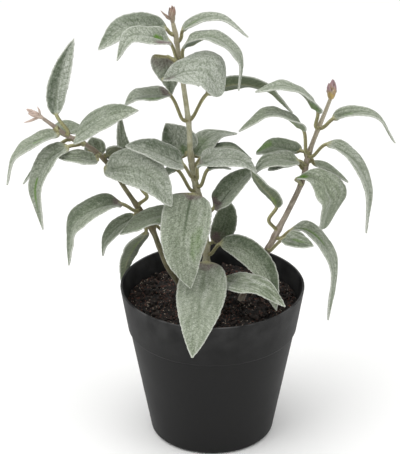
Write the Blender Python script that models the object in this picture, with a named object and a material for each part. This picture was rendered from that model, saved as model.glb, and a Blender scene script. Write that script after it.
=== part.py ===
"""Potted sage: three leafy stems with buds, standing in soil in a tapered plastic pot.

Run with: blender --background --python part.py
Lengths in the tables are millimetres and angles are degrees; the scene is in metres, +Z up.
The origin is the centre of the pot's base and the front of the plant faces -Y.
"""
import bpy
import bmesh
from dataclasses import dataclass
from math import cos, exp, hypot, pi, radians, sin
from mathutils import Vector

MM = 0.001
UP = Vector((0.0, 0.0, 1.0))
GAP = 0.3                     # clearance between neighbouring pieces

# Pot: a 12 cm nursery pot with a deep collar
POT_HEIGHT = 105.0
RIM_RADIUS = 60.0
BASE_RADIUS = 40.0
COLLAR_HEIGHT = 29.5
COLLAR_TAPER = 0.165          # radius lost per millimetre of height
COLLAR_STEP = 1.1
UNDER_STEP = 0.01             # just below the step, where the body's own taper still holds
WALL = 1.5
FLOOR = 2.0
BASE_FILLET = 3.0
LIP_ROUND = 0.5
POT_SEGMENTS = 48
FILLET_STEPS = 3

# Soil
SOIL_DEPTH = 12.5             # rim to soil surface
SOIL_MOUND = 3.0
SOIL_BUMP = 0.9
SOIL_RINGS = 5
SOCKET_DEPTH = 20.0
SOCKET_SIDES = 16

# Leaves
PETIOLE_RADIUS = 1.0
PETIOLE_FLAT = 0.8            # of the petiole's radius, where it widens into the blade
BLADE_THICKNESS = 0.9
BLADE_RISE = 0.5              # how quickly the outline swells from the base
BLADE_FALL = 0.85             # how slowly it narrows to the tip
TIP_WIDTH = 0.06              # of the full width
TAPER_FROM = 0.5              # share of the blade past which it may be thinner than its petiole
SHOWN_LEAN = 10.0             # a leaf that leans more than this shows its paler grey side
LEVEL = 0.01                  # a side direction that is this close to square faces neither way
FOLD = 0.22                   # margin lift over the midrib, of the half width
LEAD_OUT = 1.5                # petiole run straight out of the stem
PETIOLE_STATIONS = (0.0, 0.3, 0.8)
BLADE_STATIONS = (0.0, 0.04, 0.12, 0.24, 0.38, 0.52, 0.66, 0.8, 0.92, 1.0)
LEAF_SECTION = (180, 90, 0, -45, -90, -135)
PATH_STEPS = 16

# Stems and buds
STEM_SIDES = 8
STEM_STATION = 6.0
NODE_SWELL = 0.22
NODE_REACH = 3.0
BUD_SIDES = 8
BUD_PROFILE = ((0.0, 0.45), (0.18, 0.85), (0.38, 1.0), (0.62, 0.8), (0.84, 0.4), (1.0, 0.08))
FORK_FROM = 0.4               # share of a forked bud's length at which its two scales part
SCALE_STEPS = ((0.5, 0.7), (1.0, 0.15))   # reach towards the scale's tip, and width there


@dataclass(frozen=True)
class Stem:
    """A woody shoot: its route from the socket in the soil to its tip, and its two radii."""
    name: str
    route: tuple
    base_radius: float
    tip_radius: float
    colour: tuple

    def point(self, height):
        """Return the centre of the stem at a height."""
        for low, high in zip(self.route, self.route[1:]):
            if height <= high[2]:
                break
        share = (height - low[2]) / (high[2] - low[2])
        return Vector(low).lerp(Vector(high), share)

    def direction(self, height):
        """Return the way that the stem runs at a height."""
        return (self.point(height + NODE_REACH) - self.point(height - NODE_REACH)).normalized()

    def radius(self, height):
        """Return the stem's radius at a height, with the swelling at its nodes."""
        start = self.route[0][2]
        share = (height - start) / (self.route[-1][2] - start)
        plain = self.base_radius + (self.tip_radius - self.base_radius) * share
        nodes = {leaf.node for leaf in LEAVES if leaf.stem == self.name}
        swell = max(exp(-((height - node) / NODE_REACH) ** 2) for node in nodes)
        return plain * (1.0 + NODE_SWELL * swell)


@dataclass(frozen=True)
class Leaf:
    """A leaf with its petiole.

    node is the height at which it leaves its stem. route runs along the midrib from the
    base of the blade to its tip. lean lifts the rear margin, twist adds to the lean along
    the blade, and heading is the way that the leaf grows, where the route doesn't say it.
    elbow is a point that a bowed petiole passes.
    """
    name: str
    stem: str
    node: float
    width: float
    route: tuple
    lean: float = 0.0
    twist: float = 0.0
    heading: float = None
    elbow: tuple = None


@dataclass(frozen=True)
class Bud:
    """A bud from base to tip. fork is the tip of the second scale of a bud that has two."""
    name: str
    base: tuple
    tip: tuple
    radius: float
    colour: tuple
    fork: tuple = None


OLIVE_STEM = (0.30, 0.29, 0.19)
DARK_STEM = (0.13, 0.12, 0.07)
TAUPE_STEM = (0.22, 0.17, 0.13)
LEAF_GREEN = (0.26, 0.31, 0.24)
LEAF_GREY = (0.33, 0.37, 0.32)
BUD_TAN = (0.34, 0.24, 0.18)
BUD_MAUVE = (0.33, 0.22, 0.18)
SOIL_BROWN = (0.018, 0.013, 0.010)
POT_CHARCOAL = (0.028, 0.028, 0.029)

STEMS = (
    Stem("centre", ((-3, 8, 70), (-3, 8, 92), (-4, 5, 109), (-4, 5, 126), (-6, 5, 154), (-11, 5, 175),
                    (-14, 5, 195), (-15, 5, 215), (-18, 5, 240), (-21, 5, 261), (-23, 5, 276),
                    (-25, 5, 286)), 2.3, 1.3, OLIVE_STEM),
    Stem("left", ((-17, 5, 70), (-17, 5, 92), (-24, 4, 107), (-29, 3, 116), (-34, 2, 130), (-39, 1, 145),
                  (-48, 0, 161), (-55, -1, 173), (-63, -2, 187), (-71, -2, 198), (-80, -3, 206),
                  (-91, -3, 212), (-102, -4, 221), (-107, -4, 225)), 2.1, 1.1, DARK_STEM),
    Stem("right", ((18, -2, 70), (18, -2, 92), (22, -2, 103), (30, -1, 117), (37, 0, 133), (42, 0, 144),
                   (50, 1, 161), (57, 2, 178), (61, 3, 197), (67, 4, 215), (71, 4, 226), (74, 4, 235)),
         2.3, 1.2, TAUPE_STEM),
)

LEAVES = (
    # Centre stem, from the crown down
    Leaf("centre_leaf_01", "centre", 278, 20, ((-29, 6, 281), (-40, 3, 284), (-56, -2, 284),
                                               (-71, -9, 273)), lean=32),
    Leaf("centre_leaf_02", "centre", 273, 12, ((-19, 8, 279), (-10, 8, 286), (5, 6, 289), (22, 2, 277)),
         lean=25, twist=-40),
    Leaf("centre_leaf_03", "centre", 262, 15, ((-27, -5, 277), (-39, -15, 285), (-51, -21, 287),
                                               (-59, -24, 272)), lean=30),
    Leaf("centre_leaf_04", "centre", 259, 17, ((-18, -2, 272), (-2, -6, 281), (16, -8, 268),
                                               (16, -10, 246)), lean=3),
    Leaf("centre_leaf_05", "centre", 253, 27, ((-31, -11, 254), (-18, -16, 262), (-3, -19, 263),
                                               (5, -22, 248)), lean=35),
    Leaf("centre_leaf_06", "centre", 257, 21, ((-29, 14, 259), (-28.5, 14, 254), (-27, 13, 244),
                                               (-26, 12, 233)), lean=0, heading=-90),
    Leaf("centre_leaf_07", "centre", 220, 18, ((-4, 10, 235), (12, 14, 241), (33, 18, 236),
                                               (51, 20, 218)), lean=-70, twist=50),
    Leaf("centre_leaf_08", "centre", 220, 16, ((-27, 0, 239), (-38, -5, 242), (-48, -9, 242),
                                               (-55, -12, 237)), lean=12),
    Leaf("centre_leaf_09", "centre", 195, 24, ((-17, 9, 193), (-22, 13, 201), (-26, 15, 207),
                                               (-30, 15, 213)), heading=90),
    Leaf("centre_leaf_10", "centre", 192, 20, ((-12, 10, 192), (-8, 14, 198), (0, 22, 202),
                                               (16, 30, 199)), heading=50),
    Leaf("centre_leaf_11", "centre", 188, 12, ((-8, 7, 192), (2, 10, 198), (13, 12, 198), (25, 12, 189))),
    Leaf("centre_leaf_12", "centre", 181, 20, ((-19, -6, 194), (-30, -12, 203), (-43, -16, 210),
                                               (-55, -18, 212)), lean=35),
    Leaf("centre_leaf_13", "centre", 179, 19, ((-9, -3, 192), (3, -8, 199), (19, -12, 199),
                                               (28, -14, 192)), lean=15),
    Leaf("centre_leaf_14", "centre", 171, 14, ((-23, 1, 187), (-30, 3, 184), (-38, 3, 176)), lean=10),
    Leaf("centre_leaf_15", "centre", 173, 12, ((-3, 1, 187), (4, 4, 188), (12, 8, 184)), lean=-10),
    Leaf("centre_leaf_16", "centre", 167, 32, ((-13, -6, 173), (-17, -24, 162), (-18.5, -32, 143),
                                               (-14, -34, 120)), heading=-90),
    Leaf("centre_leaf_17", "centre", 154, 20, ((-21, -4, 156), (-34, -9, 160), (-46, -13, 157),
                                               (-59, -16, 149)), lean=12),
    Leaf("centre_leaf_18", "centre", 153, 22, ((1, -3, 162), (9, -2, 172), (17, 0, 180), (27, 3, 187)),
         lean=20),
    Leaf("centre_leaf_19", "centre", 129, 16, ((0, 11, 130), (6, 13, 137), (9, 14, 150), (6, 14, 163)),
         heading=90),
    Leaf("centre_leaf_20", "centre", 125, 17, ((5, -1, 135), (18, -6, 135), (33, -13, 123),
                                               (41, -31, 102)), lean=45),
    Leaf("centre_leaf_21", "centre", 117, 18, ((8, -6, 113), (18, -26, 120), (32, -41, 124),
                                               (46, -44, 112)), lean=25),
    Leaf("centre_leaf_22", "centre", 119, 32, ((-4, -6, 124), (-7, -30, 116), (-10, -58, 108),
                                               (-13, -76, 93)), heading=-90),
    # Left stem
    Leaf("left_leaf_01", "left", 213, 13, ((-98, -6, 228), (-98, -6, 241), (-93, -4, 260),
                                           (-86, -2, 278)), heading=90),
    Leaf("left_leaf_02", "left", 218, 16, ((-97, -9, 217), (-109, -11, 214), (-125, -13, 202),
                                           (-130, -14, 183)), lean=5),
    Leaf("left_leaf_03", "left", 210, 22, ((-96, 4, 211), (-88, 12, 212), (-78, 18, 206))),
    Leaf("left_leaf_04", "left", 211, 8, ((-102, 2, 200), (-109, 2, 193), (-121, 0, 177))),
    Leaf("left_leaf_05", "left", 208, 15, ((-91, -10, 208), (-102, -13, 203), (-112, -15, 183),
                                           (-108, -17, 153)), lean=5, heading=-135),
    Leaf("left_leaf_06", "left", 207, 22, ((-86, -10, 213), (-75, -16, 226), (-61, -20, 235),
                                           (-46, -24, 239)), lean=35),
    Leaf("left_leaf_07", "left", 199, 13, ((-73, -13, 200), (-84, -14, 203), (-97, -14, 202)), lean=20),
    Leaf("left_leaf_08", "left", 202, 14, ((-75, 3, 196), (-75, 6, 201), (-77, 7, 207)), heading=90),
    Leaf("left_leaf_09", "left", 196, 14, ((-68, 0, 198), (-61, -1, 199), (-51, -2, 198)), lean=-65),
    Leaf("left_leaf_10", "left", 191, 24, ((-68, -8, 192), (-53, -16, 197), (-38, -22, 192),
                                           (-26, -26, 174)), lean=45),
    Leaf("left_leaf_11", "left", 160, 20, ((-58, -8, 167), (-71, -14, 169), (-87, -18, 159),
                                           (-92, -20, 129)), lean=12),
    Leaf("left_leaf_12", "left", 162, 11, ((-46, 5, 172), (-51, 10, 185), (-58, 13, 202), (-59, 14, 221)),
         heading=135, lean=25, elbow=(-42, 2, 167)),
    Leaf("left_leaf_13", "left", 157, 16, ((-50, 4, 153), (-59, 2, 148), (-69, 0, 137), (-71, -1, 126)),
         lean=10),
    Leaf("left_leaf_14", "left", 146, 13, ((-43, 6, 140), (-50, 18, 126), (-56, 32, 107),
                                           (-61, 43, 84))),
    Leaf("left_leaf_15", "left", 144, 12, ((-32, 8, 140), (-25, 12, 136), (-16, 14, 127))),
    # Right stem
    Leaf("right_leaf_01", "right", 215, 20, ((66, 0, 228), (58, -4, 241), (44, -8, 249), (26, -14, 247)),
         lean=5),
    Leaf("right_leaf_02", "right", 215, 12, ((76, 6, 220), (88, 8, 224), (104, 8, 221), (116, 6, 203)),
         lean=20, twist=-40),
    Leaf("right_leaf_03", "right", 198, 18, ((57, -4, 217), (48, -8, 227), (34, -12, 232),
                                             (16, -16, 221))),
    Leaf("right_leaf_04", "right", 196, 15, ((72, -4, 207), (86, -8, 202), (98, -12, 182),
                                             (98, -14, 149)), lean=5),
    Leaf("right_leaf_05", "right", 192, 14, ((64, 5, 190), (74, 7, 185), (87, 7, 175))),
    Leaf("right_leaf_06", "right", 190, 18, ((54, -3, 195), (44, -6, 198), (33, -7, 196), (25, -7, 187)),
         lean=10),
    Leaf("right_leaf_07", "right", 195, 18, ((56, 10, 196), (46, 16, 195), (36, 20, 194), (28, 22, 189)),
         lean=15),
    Leaf("right_leaf_08", "right", 187, 15, ((53, 4, 190), (44, 3, 190), (35, 2, 186))),
    Leaf("right_leaf_09", "right", 177, 26, ((53, -9, 185), (65, -15, 189), (75, -20, 178),
                                             (70, -22, 156)), lean=25),
    Leaf("right_leaf_10", "right", 145, 13, ((41, -4, 163), (38, -8, 172), (31, -13, 183),
                                             (24, -18, 196)), lean=-30, elbow=(36, -3, 153)),
    Leaf("right_leaf_11", "right", 140, 15, ((50, -4, 146), (60, -7, 149), (77, -12, 130),
                                             (75, -16, 87)), lean=10, twist=-30),
    Leaf("right_leaf_12", "right", 131, 14, ((46, -15, 146), (55, -25, 149), (64, -28, 147)), lean=20),
)

BUDS = (
    Bud("centre_bud", (-25.1, 5, 286.5), (-25.5, 5, 297), 2.0, BUD_TAN, fork=(-33, 4, 293)),
    Bud("left_bud", (-107.6, -4, 225.5), (-117, -4, 231), 2.0, BUD_TAN, fork=(-119, -5, 222)),
    Bud("right_bud", (74.3, 4, 235.9), (75, 4, 248), 3.1, BUD_MAUVE),
)


def clear_scene():
    """Remove every object that the file starts with."""
    for old in list(bpy.data.objects):
        bpy.data.objects.remove(old, do_unlink=True)


def dress(piece, colour, roughness):
    """Give a piece its own plain finish."""
    finish = bpy.data.materials.new(piece.name + "_finish")
    finish.use_nodes = True
    shader = finish.node_tree.nodes["Principled BSDF"]
    shader.inputs["Base Color"].default_value = (*colour, 1.0)
    shader.inputs["Roughness"].default_value = roughness
    shader.inputs["Metallic"].default_value = 0.0
    piece.data.materials.append(finish)
    return piece


def add_piece(name, mesh_builder):
    """Turn a bmesh drawn in millimetres into a named object in metres."""
    bmesh.ops.recalc_face_normals(mesh_builder, faces=mesh_builder.faces)
    bmesh.ops.scale(mesh_builder, vec=(MM, MM, MM), verts=mesh_builder.verts)
    mesh = bpy.data.meshes.new(name)
    mesh_builder.to_mesh(mesh)
    mesh_builder.free()
    piece = bpy.data.objects.new(name, mesh)
    bpy.context.scene.collection.objects.link(piece)
    return piece


def loft(shell, rings, caps=True):
    """Join a row of rings with quads and close its start, and its end where caps is set."""
    rows = [[shell.verts.new(point) for point in ring] for ring in rings]
    count = len(rows[0])
    for lower, upper in zip(rows, rows[1:]):
        for k in range(count):
            following = (k + 1) % count
            shell.faces.new((lower[k], lower[following], upper[following], upper[k]))
    shell.faces.new(rows[0][::-1])
    if caps:
        shell.faces.new(rows[-1])
    return rows


def smooth_path(points):
    """Return a centripetal Catmull-Rom curve through the points, as a dense polyline."""
    knots = [Vector(point) for point in points]
    knots = [knots[0] * 2 - knots[1]] + knots + [knots[-1] * 2 - knots[-2]]
    dense = []
    for a, b, c, d in zip(knots, knots[1:], knots[2:], knots[3:]):
        t1 = (b - a).length ** 0.5
        t2 = t1 + (c - b).length ** 0.5
        t3 = t2 + (d - c).length ** 0.5
        for step in range(PATH_STEPS):
            t = t1 + (t2 - t1) * step / PATH_STEPS
            ab = a.lerp(b, t / t1)
            bc = b.lerp(c, (t - t1) / (t2 - t1))
            cd = c.lerp(d, (t - t2) / (t3 - t2))
            near = ab.lerp(bc, t / t2)
            far = bc.lerp(cd, (t - t1) / (t3 - t1))
            dense.append(near.lerp(far, (t - t1) / (t2 - t1)))
    dense.append(knots[-2])
    return dense


def stations(path, shares):
    """Return (point, tangent) at shares of a polyline's length."""
    spans = [(b - a).length for a, b in zip(path, path[1:])]
    total = sum(spans)
    found = []
    for share in shares:
        left = share * total
        index = 0
        while index < len(spans) - 1 and left > spans[index]:
            left -= spans[index]
            index += 1
        start, end = path[index], path[index + 1]
        before = path[max(index - 1, 0)]
        after = path[min(index + 2, len(path) - 1)]
        found.append((start.lerp(end, left / spans[index]), (after - before).normalized()))
    return found


def blade_width(share):
    """Return the blade's width at a share of its length, where 1 is the widest."""
    crest = BLADE_RISE / (BLADE_RISE + BLADE_FALL)
    peak = crest ** BLADE_RISE * (1.0 - crest) ** BLADE_FALL
    return max(share ** BLADE_RISE * (1.0 - share) ** BLADE_FALL / peak, TIP_WIDTH)


def leaf_section(point, tangent, side, facing, half_width, half_thickness, lift):
    """Return one ring across a leaf: a folded lens, or a round petiole where lift is 0."""
    across = (side - tangent * side.dot(tangent)).normalized()
    face = tangent.cross(across) * facing
    ring = []
    for angle in LEAF_SECTION:
        u = cos(radians(angle))
        height = half_thickness * sin(radians(angle)) + lift * (abs(u) - 0.5)
        ring.append(point + across * (half_width * u) + face * height)
    return ring


def build_leaf(leaf, stem):
    """Loft a leaf from the petiole's foot, just clear of the stem, to the blade's tip."""
    root = stem.point(leaf.node)
    base, tip = Vector(leaf.route[0]), Vector(leaf.route[-1])
    along = stem.direction(leaf.node)
    aim = Vector(leaf.elbow or leaf.route[0]) - root
    outward = (aim - along * aim.dot(along)).normalized()
    foot = root + outward * (stem.radius(leaf.node) + GAP)
    bow = (leaf.elbow,) if leaf.elbow else ()
    course = (foot, foot + outward * LEAD_OUT, *bow, *leaf.route)
    knee = PATH_STEPS * (len(bow) + 2)
    dense = smooth_path(course)
    petiole, blade = dense[:knee + 1], dense[knee:]

    growth = Vector((tip.x - base.x, tip.y - base.y, 0.0)).normalized()
    if leaf.heading is not None:
        growth = Vector((cos(radians(leaf.heading)), sin(radians(leaf.heading)), 0.0))
    rear = UP.cross(growth)
    facing = 1.0
    if rear.y < -LEVEL or (abs(rear.y) <= LEVEL and rear.x < 0.0):
        rear = -rear
        facing = -1.0

    rings = []
    for point, tangent in stations(petiole, PETIOLE_STATIONS):
        rings.append(leaf_section(point, tangent, rear, facing, PETIOLE_RADIUS, PETIOLE_RADIUS, 0.0))
    for share, (point, tangent) in zip(BLADE_STATIONS, stations(blade, BLADE_STATIONS)):
        turn = radians(leaf.lean + leaf.twist * share)
        side = rear * cos(turn) + UP * sin(turn)
        half_width = max(leaf.width / 2 * blade_width(share), PETIOLE_RADIUS if share < TAPER_FROM else 0.0)
        thin = BLADE_THICKNESS / 2 if share else PETIOLE_RADIUS * PETIOLE_FLAT
        rings.append(leaf_section(point, tangent, side, facing, half_width, thin, FOLD * half_width))
    shell = bmesh.new()
    loft(shell, rings)
    return dress(add_piece(leaf.name, shell), LEAF_GREY if leaf.lean > SHOWN_LEAN else LEAF_GREEN, 0.9)


def frame_at(tangent):
    """Return two directions square to a tangent, for a round section."""
    first = tangent.cross(Vector((0.0, 1.0, 0.0))).normalized()
    return first, tangent.cross(first)


def build_stem(stem):
    """Loft a stem's tapered tube through its route."""
    path = smooth_path(stem.route)
    length = sum((b - a).length for a, b in zip(path, path[1:]))
    count = round(length / STEM_STATION)
    rings = []
    for point, tangent in stations(path, [k / count for k in range(count + 1)]):
        first, second = frame_at(tangent)
        reach = stem.radius(point.z)
        angles = [2 * pi * k / STEM_SIDES for k in range(STEM_SIDES)]
        rings.append([point + (first * cos(a) + second * sin(a)) * reach for a in angles])
    shell = bmesh.new()
    loft(shell, rings)
    return dress(add_piece(stem.name + "_stem", shell), stem.colour, 0.8)


def build_bud(bud):
    """Loft a bud; where it forks, half of its top grows into a second scale."""
    base, tip = Vector(bud.base), Vector(bud.tip)
    axis = (tip - base).normalized()
    spread = Vector(bud.fork) - tip if bud.fork else Vector((0.0, 1.0, 0.0))
    spread = (spread - axis * spread.dot(axis)).normalized()
    across = axis.cross(spread)
    profile = [row for row in BUD_PROFILE if not bud.fork or row[0] < FORK_FROM]
    rings = []
    for share, width in profile:
        centre = base.lerp(tip, share)
        angles = [2 * pi * k / BUD_SIDES for k in range(BUD_SIDES)]
        reach = bud.radius * width
        rings.append([centre + (across * cos(a) + spread * sin(a)) * reach for a in angles])
    shell = bmesh.new()
    rows = loft(shell, rings, caps=not bud.fork)
    if bud.fork:
        top = rows[-1]
        half = BUD_SIDES // 2
        scales = ((top[:half + 1], Vector(bud.fork)), (top[half:] + top[:1], tip))
        for outline, point in scales:
            face = shell.faces.new(outline)
            for share, size in SCALE_STEPS:
                centre = face.calc_center_median()
                target = centre.lerp(point, share)
                grown = bmesh.ops.extrude_discrete_faces(shell, faces=[face])["faces"][0]
                for vert in grown.verts:
                    vert.co = target + (vert.co - centre) * size
                face = grown
    return dress(add_piece(bud.name, shell), bud.colour, 0.75)


def pot_outside(height):
    """Return the pot's outer radius at a height."""
    step = POT_HEIGHT - COLLAR_HEIGHT
    if height >= step:
        return RIM_RADIUS - COLLAR_TAPER * (POT_HEIGHT - height)
    neck = RIM_RADIUS - COLLAR_TAPER * COLLAR_HEIGHT - COLLAR_STEP
    return BASE_RADIUS + (neck - BASE_RADIUS) * height / step


def revolve(shell, profile, segments):
    """Turn a profile of (radius, height) rows, whose ends are on the axis, into a solid."""
    foot = shell.verts.new((0.0, 0.0, profile[0][1]))
    crown = shell.verts.new((0.0, 0.0, profile[-1][1]))
    rows = []
    for reach, height in profile[1:-1]:
        turns = [2 * pi * k / segments for k in range(segments)]
        rows.append([shell.verts.new((reach * cos(a), reach * sin(a), height)) for a in turns])
    for k in range(segments):
        following = (k + 1) % segments
        shell.faces.new((foot, rows[0][following], rows[0][k]))
        shell.faces.new((crown, rows[-1][k], rows[-1][following]))
        for lower, upper in zip(rows, rows[1:]):
            shell.faces.new((lower[k], lower[following], upper[following], upper[k]))


def build_pot():
    """Revolve the pot: flat base, tapered body, step, collar and thin rolled lip."""
    step = POT_HEIGHT - COLLAR_HEIGHT
    profile = [(0.0, 0.0)]
    fillet_centre = pot_outside(BASE_FILLET) - BASE_FILLET
    for k in range(FILLET_STEPS + 1):
        turn = pi / 2 * k / FILLET_STEPS
        profile.append((fillet_centre + BASE_FILLET * sin(turn), BASE_FILLET * (1.0 - cos(turn))))
    profile.append((pot_outside(step - UNDER_STEP), step - COLLAR_STEP))
    profile.append((pot_outside(step), step))
    profile.append((RIM_RADIUS, POT_HEIGHT - LIP_ROUND))
    profile.append((RIM_RADIUS - LIP_ROUND, POT_HEIGHT))
    profile.append((RIM_RADIUS - WALL, POT_HEIGHT))
    profile.append((pot_outside(step) - WALL, step))
    profile.append((pot_outside(step - UNDER_STEP) - WALL, step - COLLAR_STEP))
    profile.append((pot_outside(FLOOR) - WALL, FLOOR))
    profile.append((0.0, FLOOR))
    shell = bmesh.new()
    revolve(shell, profile, POT_SEGMENTS)
    return dress(add_piece("pot", shell), POT_CHARCOAL, 0.6)


def soil_height(reach, turn, edge):
    """Return the soil's height: a low mound with soft lumps that die out at the wall."""
    share = reach / edge
    mound = SOIL_MOUND * (1.0 - share ** 2)
    lumps = sin(3 * turn + 4 * share) + cos(5 * turn - 7 * share) + sin(2 * turn)
    return POT_HEIGHT - SOIL_DEPTH - SOIL_MOUND / 2 + mound + SOIL_BUMP * lumps * share * (1.0 - share)


def build_sockets():
    """Model the cutter that opens the soil around the three stems."""
    shell = bmesh.new()
    for stem in STEMS:
        x, y, low = stem.route[0]
        reach = stem.base_radius * (1.0 + NODE_SWELL) + GAP
        rings = []
        for height in (low - GAP, POT_HEIGHT + SOCKET_DEPTH):
            turns = [2 * pi * k / SOCKET_SIDES for k in range(SOCKET_SIDES)]
            rings.append([Vector((x + reach * cos(a), y + reach * sin(a), height)) for a in turns])
        loft(shell, rings)
    cutter = dress(add_piece("soil_sockets", shell), SOIL_BROWN, 1.0)
    cutter.hide_render = True
    cutter.display_type = "WIRE"
    return cutter


def build_soil():
    """Model the soil that fills the pot, and cut the stems' sockets in it."""
    edge_height = POT_HEIGHT - SOIL_DEPTH
    edge = pot_outside(edge_height) - WALL - GAP
    step = POT_HEIGHT - COLLAR_HEIGHT
    turns = [2 * pi * k / POT_SEGMENTS for k in range(POT_SEGMENTS)]
    sides = ((pot_outside(FLOOR) - WALL - GAP, FLOOR + GAP),
             (pot_outside(step - UNDER_STEP) - WALL - GAP, step - COLLAR_STEP),
             (pot_outside(step) - WALL - GAP, step))
    rings = [[Vector((r * cos(a), r * sin(a), z)) for a in turns] for r, z in sides]
    for k in range(SOIL_RINGS):
        r = edge * (1.0 - k / SOIL_RINGS)
        rings.append([Vector((r * cos(a), r * sin(a), soil_height(r, a, edge))) for a in turns])
    shell = bmesh.new()
    rows = loft(shell, rings, caps=False)
    middle = shell.verts.new((0.0, 0.0, soil_height(0.0, 0.0, edge)))
    for k in range(POT_SEGMENTS):
        shell.faces.new((middle, rows[-1][k], rows[-1][(k + 1) % POT_SEGMENTS]))
    soil = dress(add_piece("soil", shell), SOIL_BROWN, 1.0)
    opening = soil.modifiers.new("stem_sockets", "BOOLEAN")
    opening.operation = "DIFFERENCE"
    opening.solver = "EXACT"
    opening.object = build_sockets()
    return soil


def build():
    """Model the whole plant and parent it to one empty."""
    clear_scene()
    holder = bpy.data.objects.new("potted_sage", None)
    bpy.context.scene.collection.objects.link(holder)
    pieces = [build_pot(), build_soil()]
    for stem in STEMS:
        pieces.append(build_stem(stem))
    for bud in BUDS:
        pieces.append(build_bud(bud))
    by_name = {stem.name: stem for stem in STEMS}
    for leaf in LEAVES:
        pieces.append(build_leaf(leaf, by_name[leaf.stem]))
    for piece in pieces:
        piece.parent = holder


build()
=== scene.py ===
"""Potted sage: three leafy shoots with buds, standing in soil in a charcoal nursery pot.

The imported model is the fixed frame. Every piece is rebuilt here as a fine mesh at the same
place and gets a procedural finish. The plans hold millimetres and degrees, and the scene is
in metres, +Z up, with the front of the plant facing -Y.
"""
import logging
from dataclasses import dataclass
from enum import Enum
from math import pi, radians
from typing import Optional, Sequence

import bpy
import numpy as np
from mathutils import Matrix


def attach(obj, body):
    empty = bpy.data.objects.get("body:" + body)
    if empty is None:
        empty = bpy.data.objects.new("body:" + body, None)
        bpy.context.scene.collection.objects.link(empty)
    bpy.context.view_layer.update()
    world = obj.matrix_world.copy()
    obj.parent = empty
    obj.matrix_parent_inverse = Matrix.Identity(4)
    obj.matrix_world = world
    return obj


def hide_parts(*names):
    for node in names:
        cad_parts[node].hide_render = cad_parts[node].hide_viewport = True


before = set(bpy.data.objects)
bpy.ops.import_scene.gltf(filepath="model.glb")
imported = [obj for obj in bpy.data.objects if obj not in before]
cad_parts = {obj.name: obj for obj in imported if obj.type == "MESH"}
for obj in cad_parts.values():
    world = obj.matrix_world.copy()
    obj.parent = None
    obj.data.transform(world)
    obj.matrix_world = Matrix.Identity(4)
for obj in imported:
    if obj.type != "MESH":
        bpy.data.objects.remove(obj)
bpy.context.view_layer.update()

MM = 0.001
BODY = "root"
UP = np.array((0.0, 0.0, 1.0))
REARWARD = (0.0, 1.0, 0.0)
WHITE = (1.0, 1.0, 1.0, 1.0)
Array = np.ndarray
Point = tuple[float, float, float]
Colour = tuple[int, int, int]
Levels = tuple[float, ...]
Material = bpy.types.Material
Socket = bpy.types.NodeSocket

log = logging.getLogger("potted_sage")


# ---------------------------------------------------------------- curves, noise and meshes


def smooth_path(points: Sequence[Point], steps: int = 24) -> Array:
    """Run a centripetal Catmull-Rom curve through points.

    Args:
        points: the points that the curve passes, in millimetres.
        steps: how many pieces each span is cut into.

    Returns:
        The dense polyline, one row for each point.
    """
    knots = [np.array(point, float) for point in points]
    knots = [knots[0] * 2 - knots[1], *knots, knots[-1] * 2 - knots[-2]]
    dense = []
    for a, b, c, d in zip(knots, knots[1:], knots[2:], knots[3:]):
        t1 = np.linalg.norm(b - a) ** 0.5
        t2 = t1 + np.linalg.norm(c - b) ** 0.5
        t3 = t2 + np.linalg.norm(d - c) ** 0.5
        for t in t1 + (t2 - t1) * np.arange(steps) / steps:
            ab = a + (b - a) * t / t1
            bc = b + (c - b) * (t - t1) / (t2 - t1)
            cd = c + (d - c) * (t - t2) / (t3 - t2)
            near = ab + (bc - ab) * t / t2
            far = bc + (cd - bc) * (t - t1) / (t3 - t1)
            dense.append(near + (far - near) * (t - t1) / (t2 - t1))
    dense.append(knots[-2])
    return np.array(dense)


def unit(rows: Array) -> Array:
    """Return the rows at length one."""
    return rows / np.linalg.norm(rows, axis=-1, keepdims=True)


def follow(path: Array, travel: Array, blur: float = 0.012) -> tuple[Array, Array]:
    """Walk along a polyline.

    Args:
        path: the polyline.
        travel: the distances from its start to look at.
        blur: the share of its length over which a tangent is taken, each way.

    Returns:
        The points there, and the unit tangents.
    """
    ends = np.concatenate(([0.0], np.cumsum(np.linalg.norm(np.diff(path, axis=0), axis=1))))

    def place(at: Array) -> Array:
        """Return the points at these distances."""
        return np.column_stack([np.interp(at, ends, path[:, k]) for k in range(3)])

    half = ends[-1] * blur
    return place(travel), unit(place(travel + half) - place(travel - half))


def path_length(path: Array) -> float:
    """Return a polyline's length."""
    return float(np.linalg.norm(np.diff(path, axis=0), axis=1).sum())


def square_to(axis: Array) -> tuple[Array, Array]:
    """Return two directions square to an axis, or to each row of axes."""
    first = unit(np.cross(axis, REARWARD))
    return first, np.cross(axis, first)


def rings_around(centres: Array, axis: Array, turns: Array, reach: Array) -> Array:
    """Place rings of points around a line of centres.

    Args:
        centres: the middle of each ring.
        axis: the way that the line runs, one for all rings or one for each.
        turns: the angles around a ring, as one row.
        reach: the radius at each point, with a row for each ring.

    Returns:
        The points, shaped (rings, points in a ring, 3).
    """
    first, second = (side[..., None, :] for side in square_to(axis))
    spread = first * np.cos(turns)[..., None] + second * np.sin(turns)[..., None]
    return centres[:, None] + spread * reach[..., None]


def smoothstep(low: float, high: float, value: Array) -> Array:
    """Rise smoothly from 0 at low to 1 at high."""
    share = np.clip((value - low) / (high - low), 0.0, 1.0)
    return share * share * (3.0 - 2.0 * share)


def circle(count: int) -> Array:
    """Return evenly spaced angles of a full turn, as one row."""
    return np.linspace(0.0, 2 * pi, count, endpoint=False)[None, :]


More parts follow.
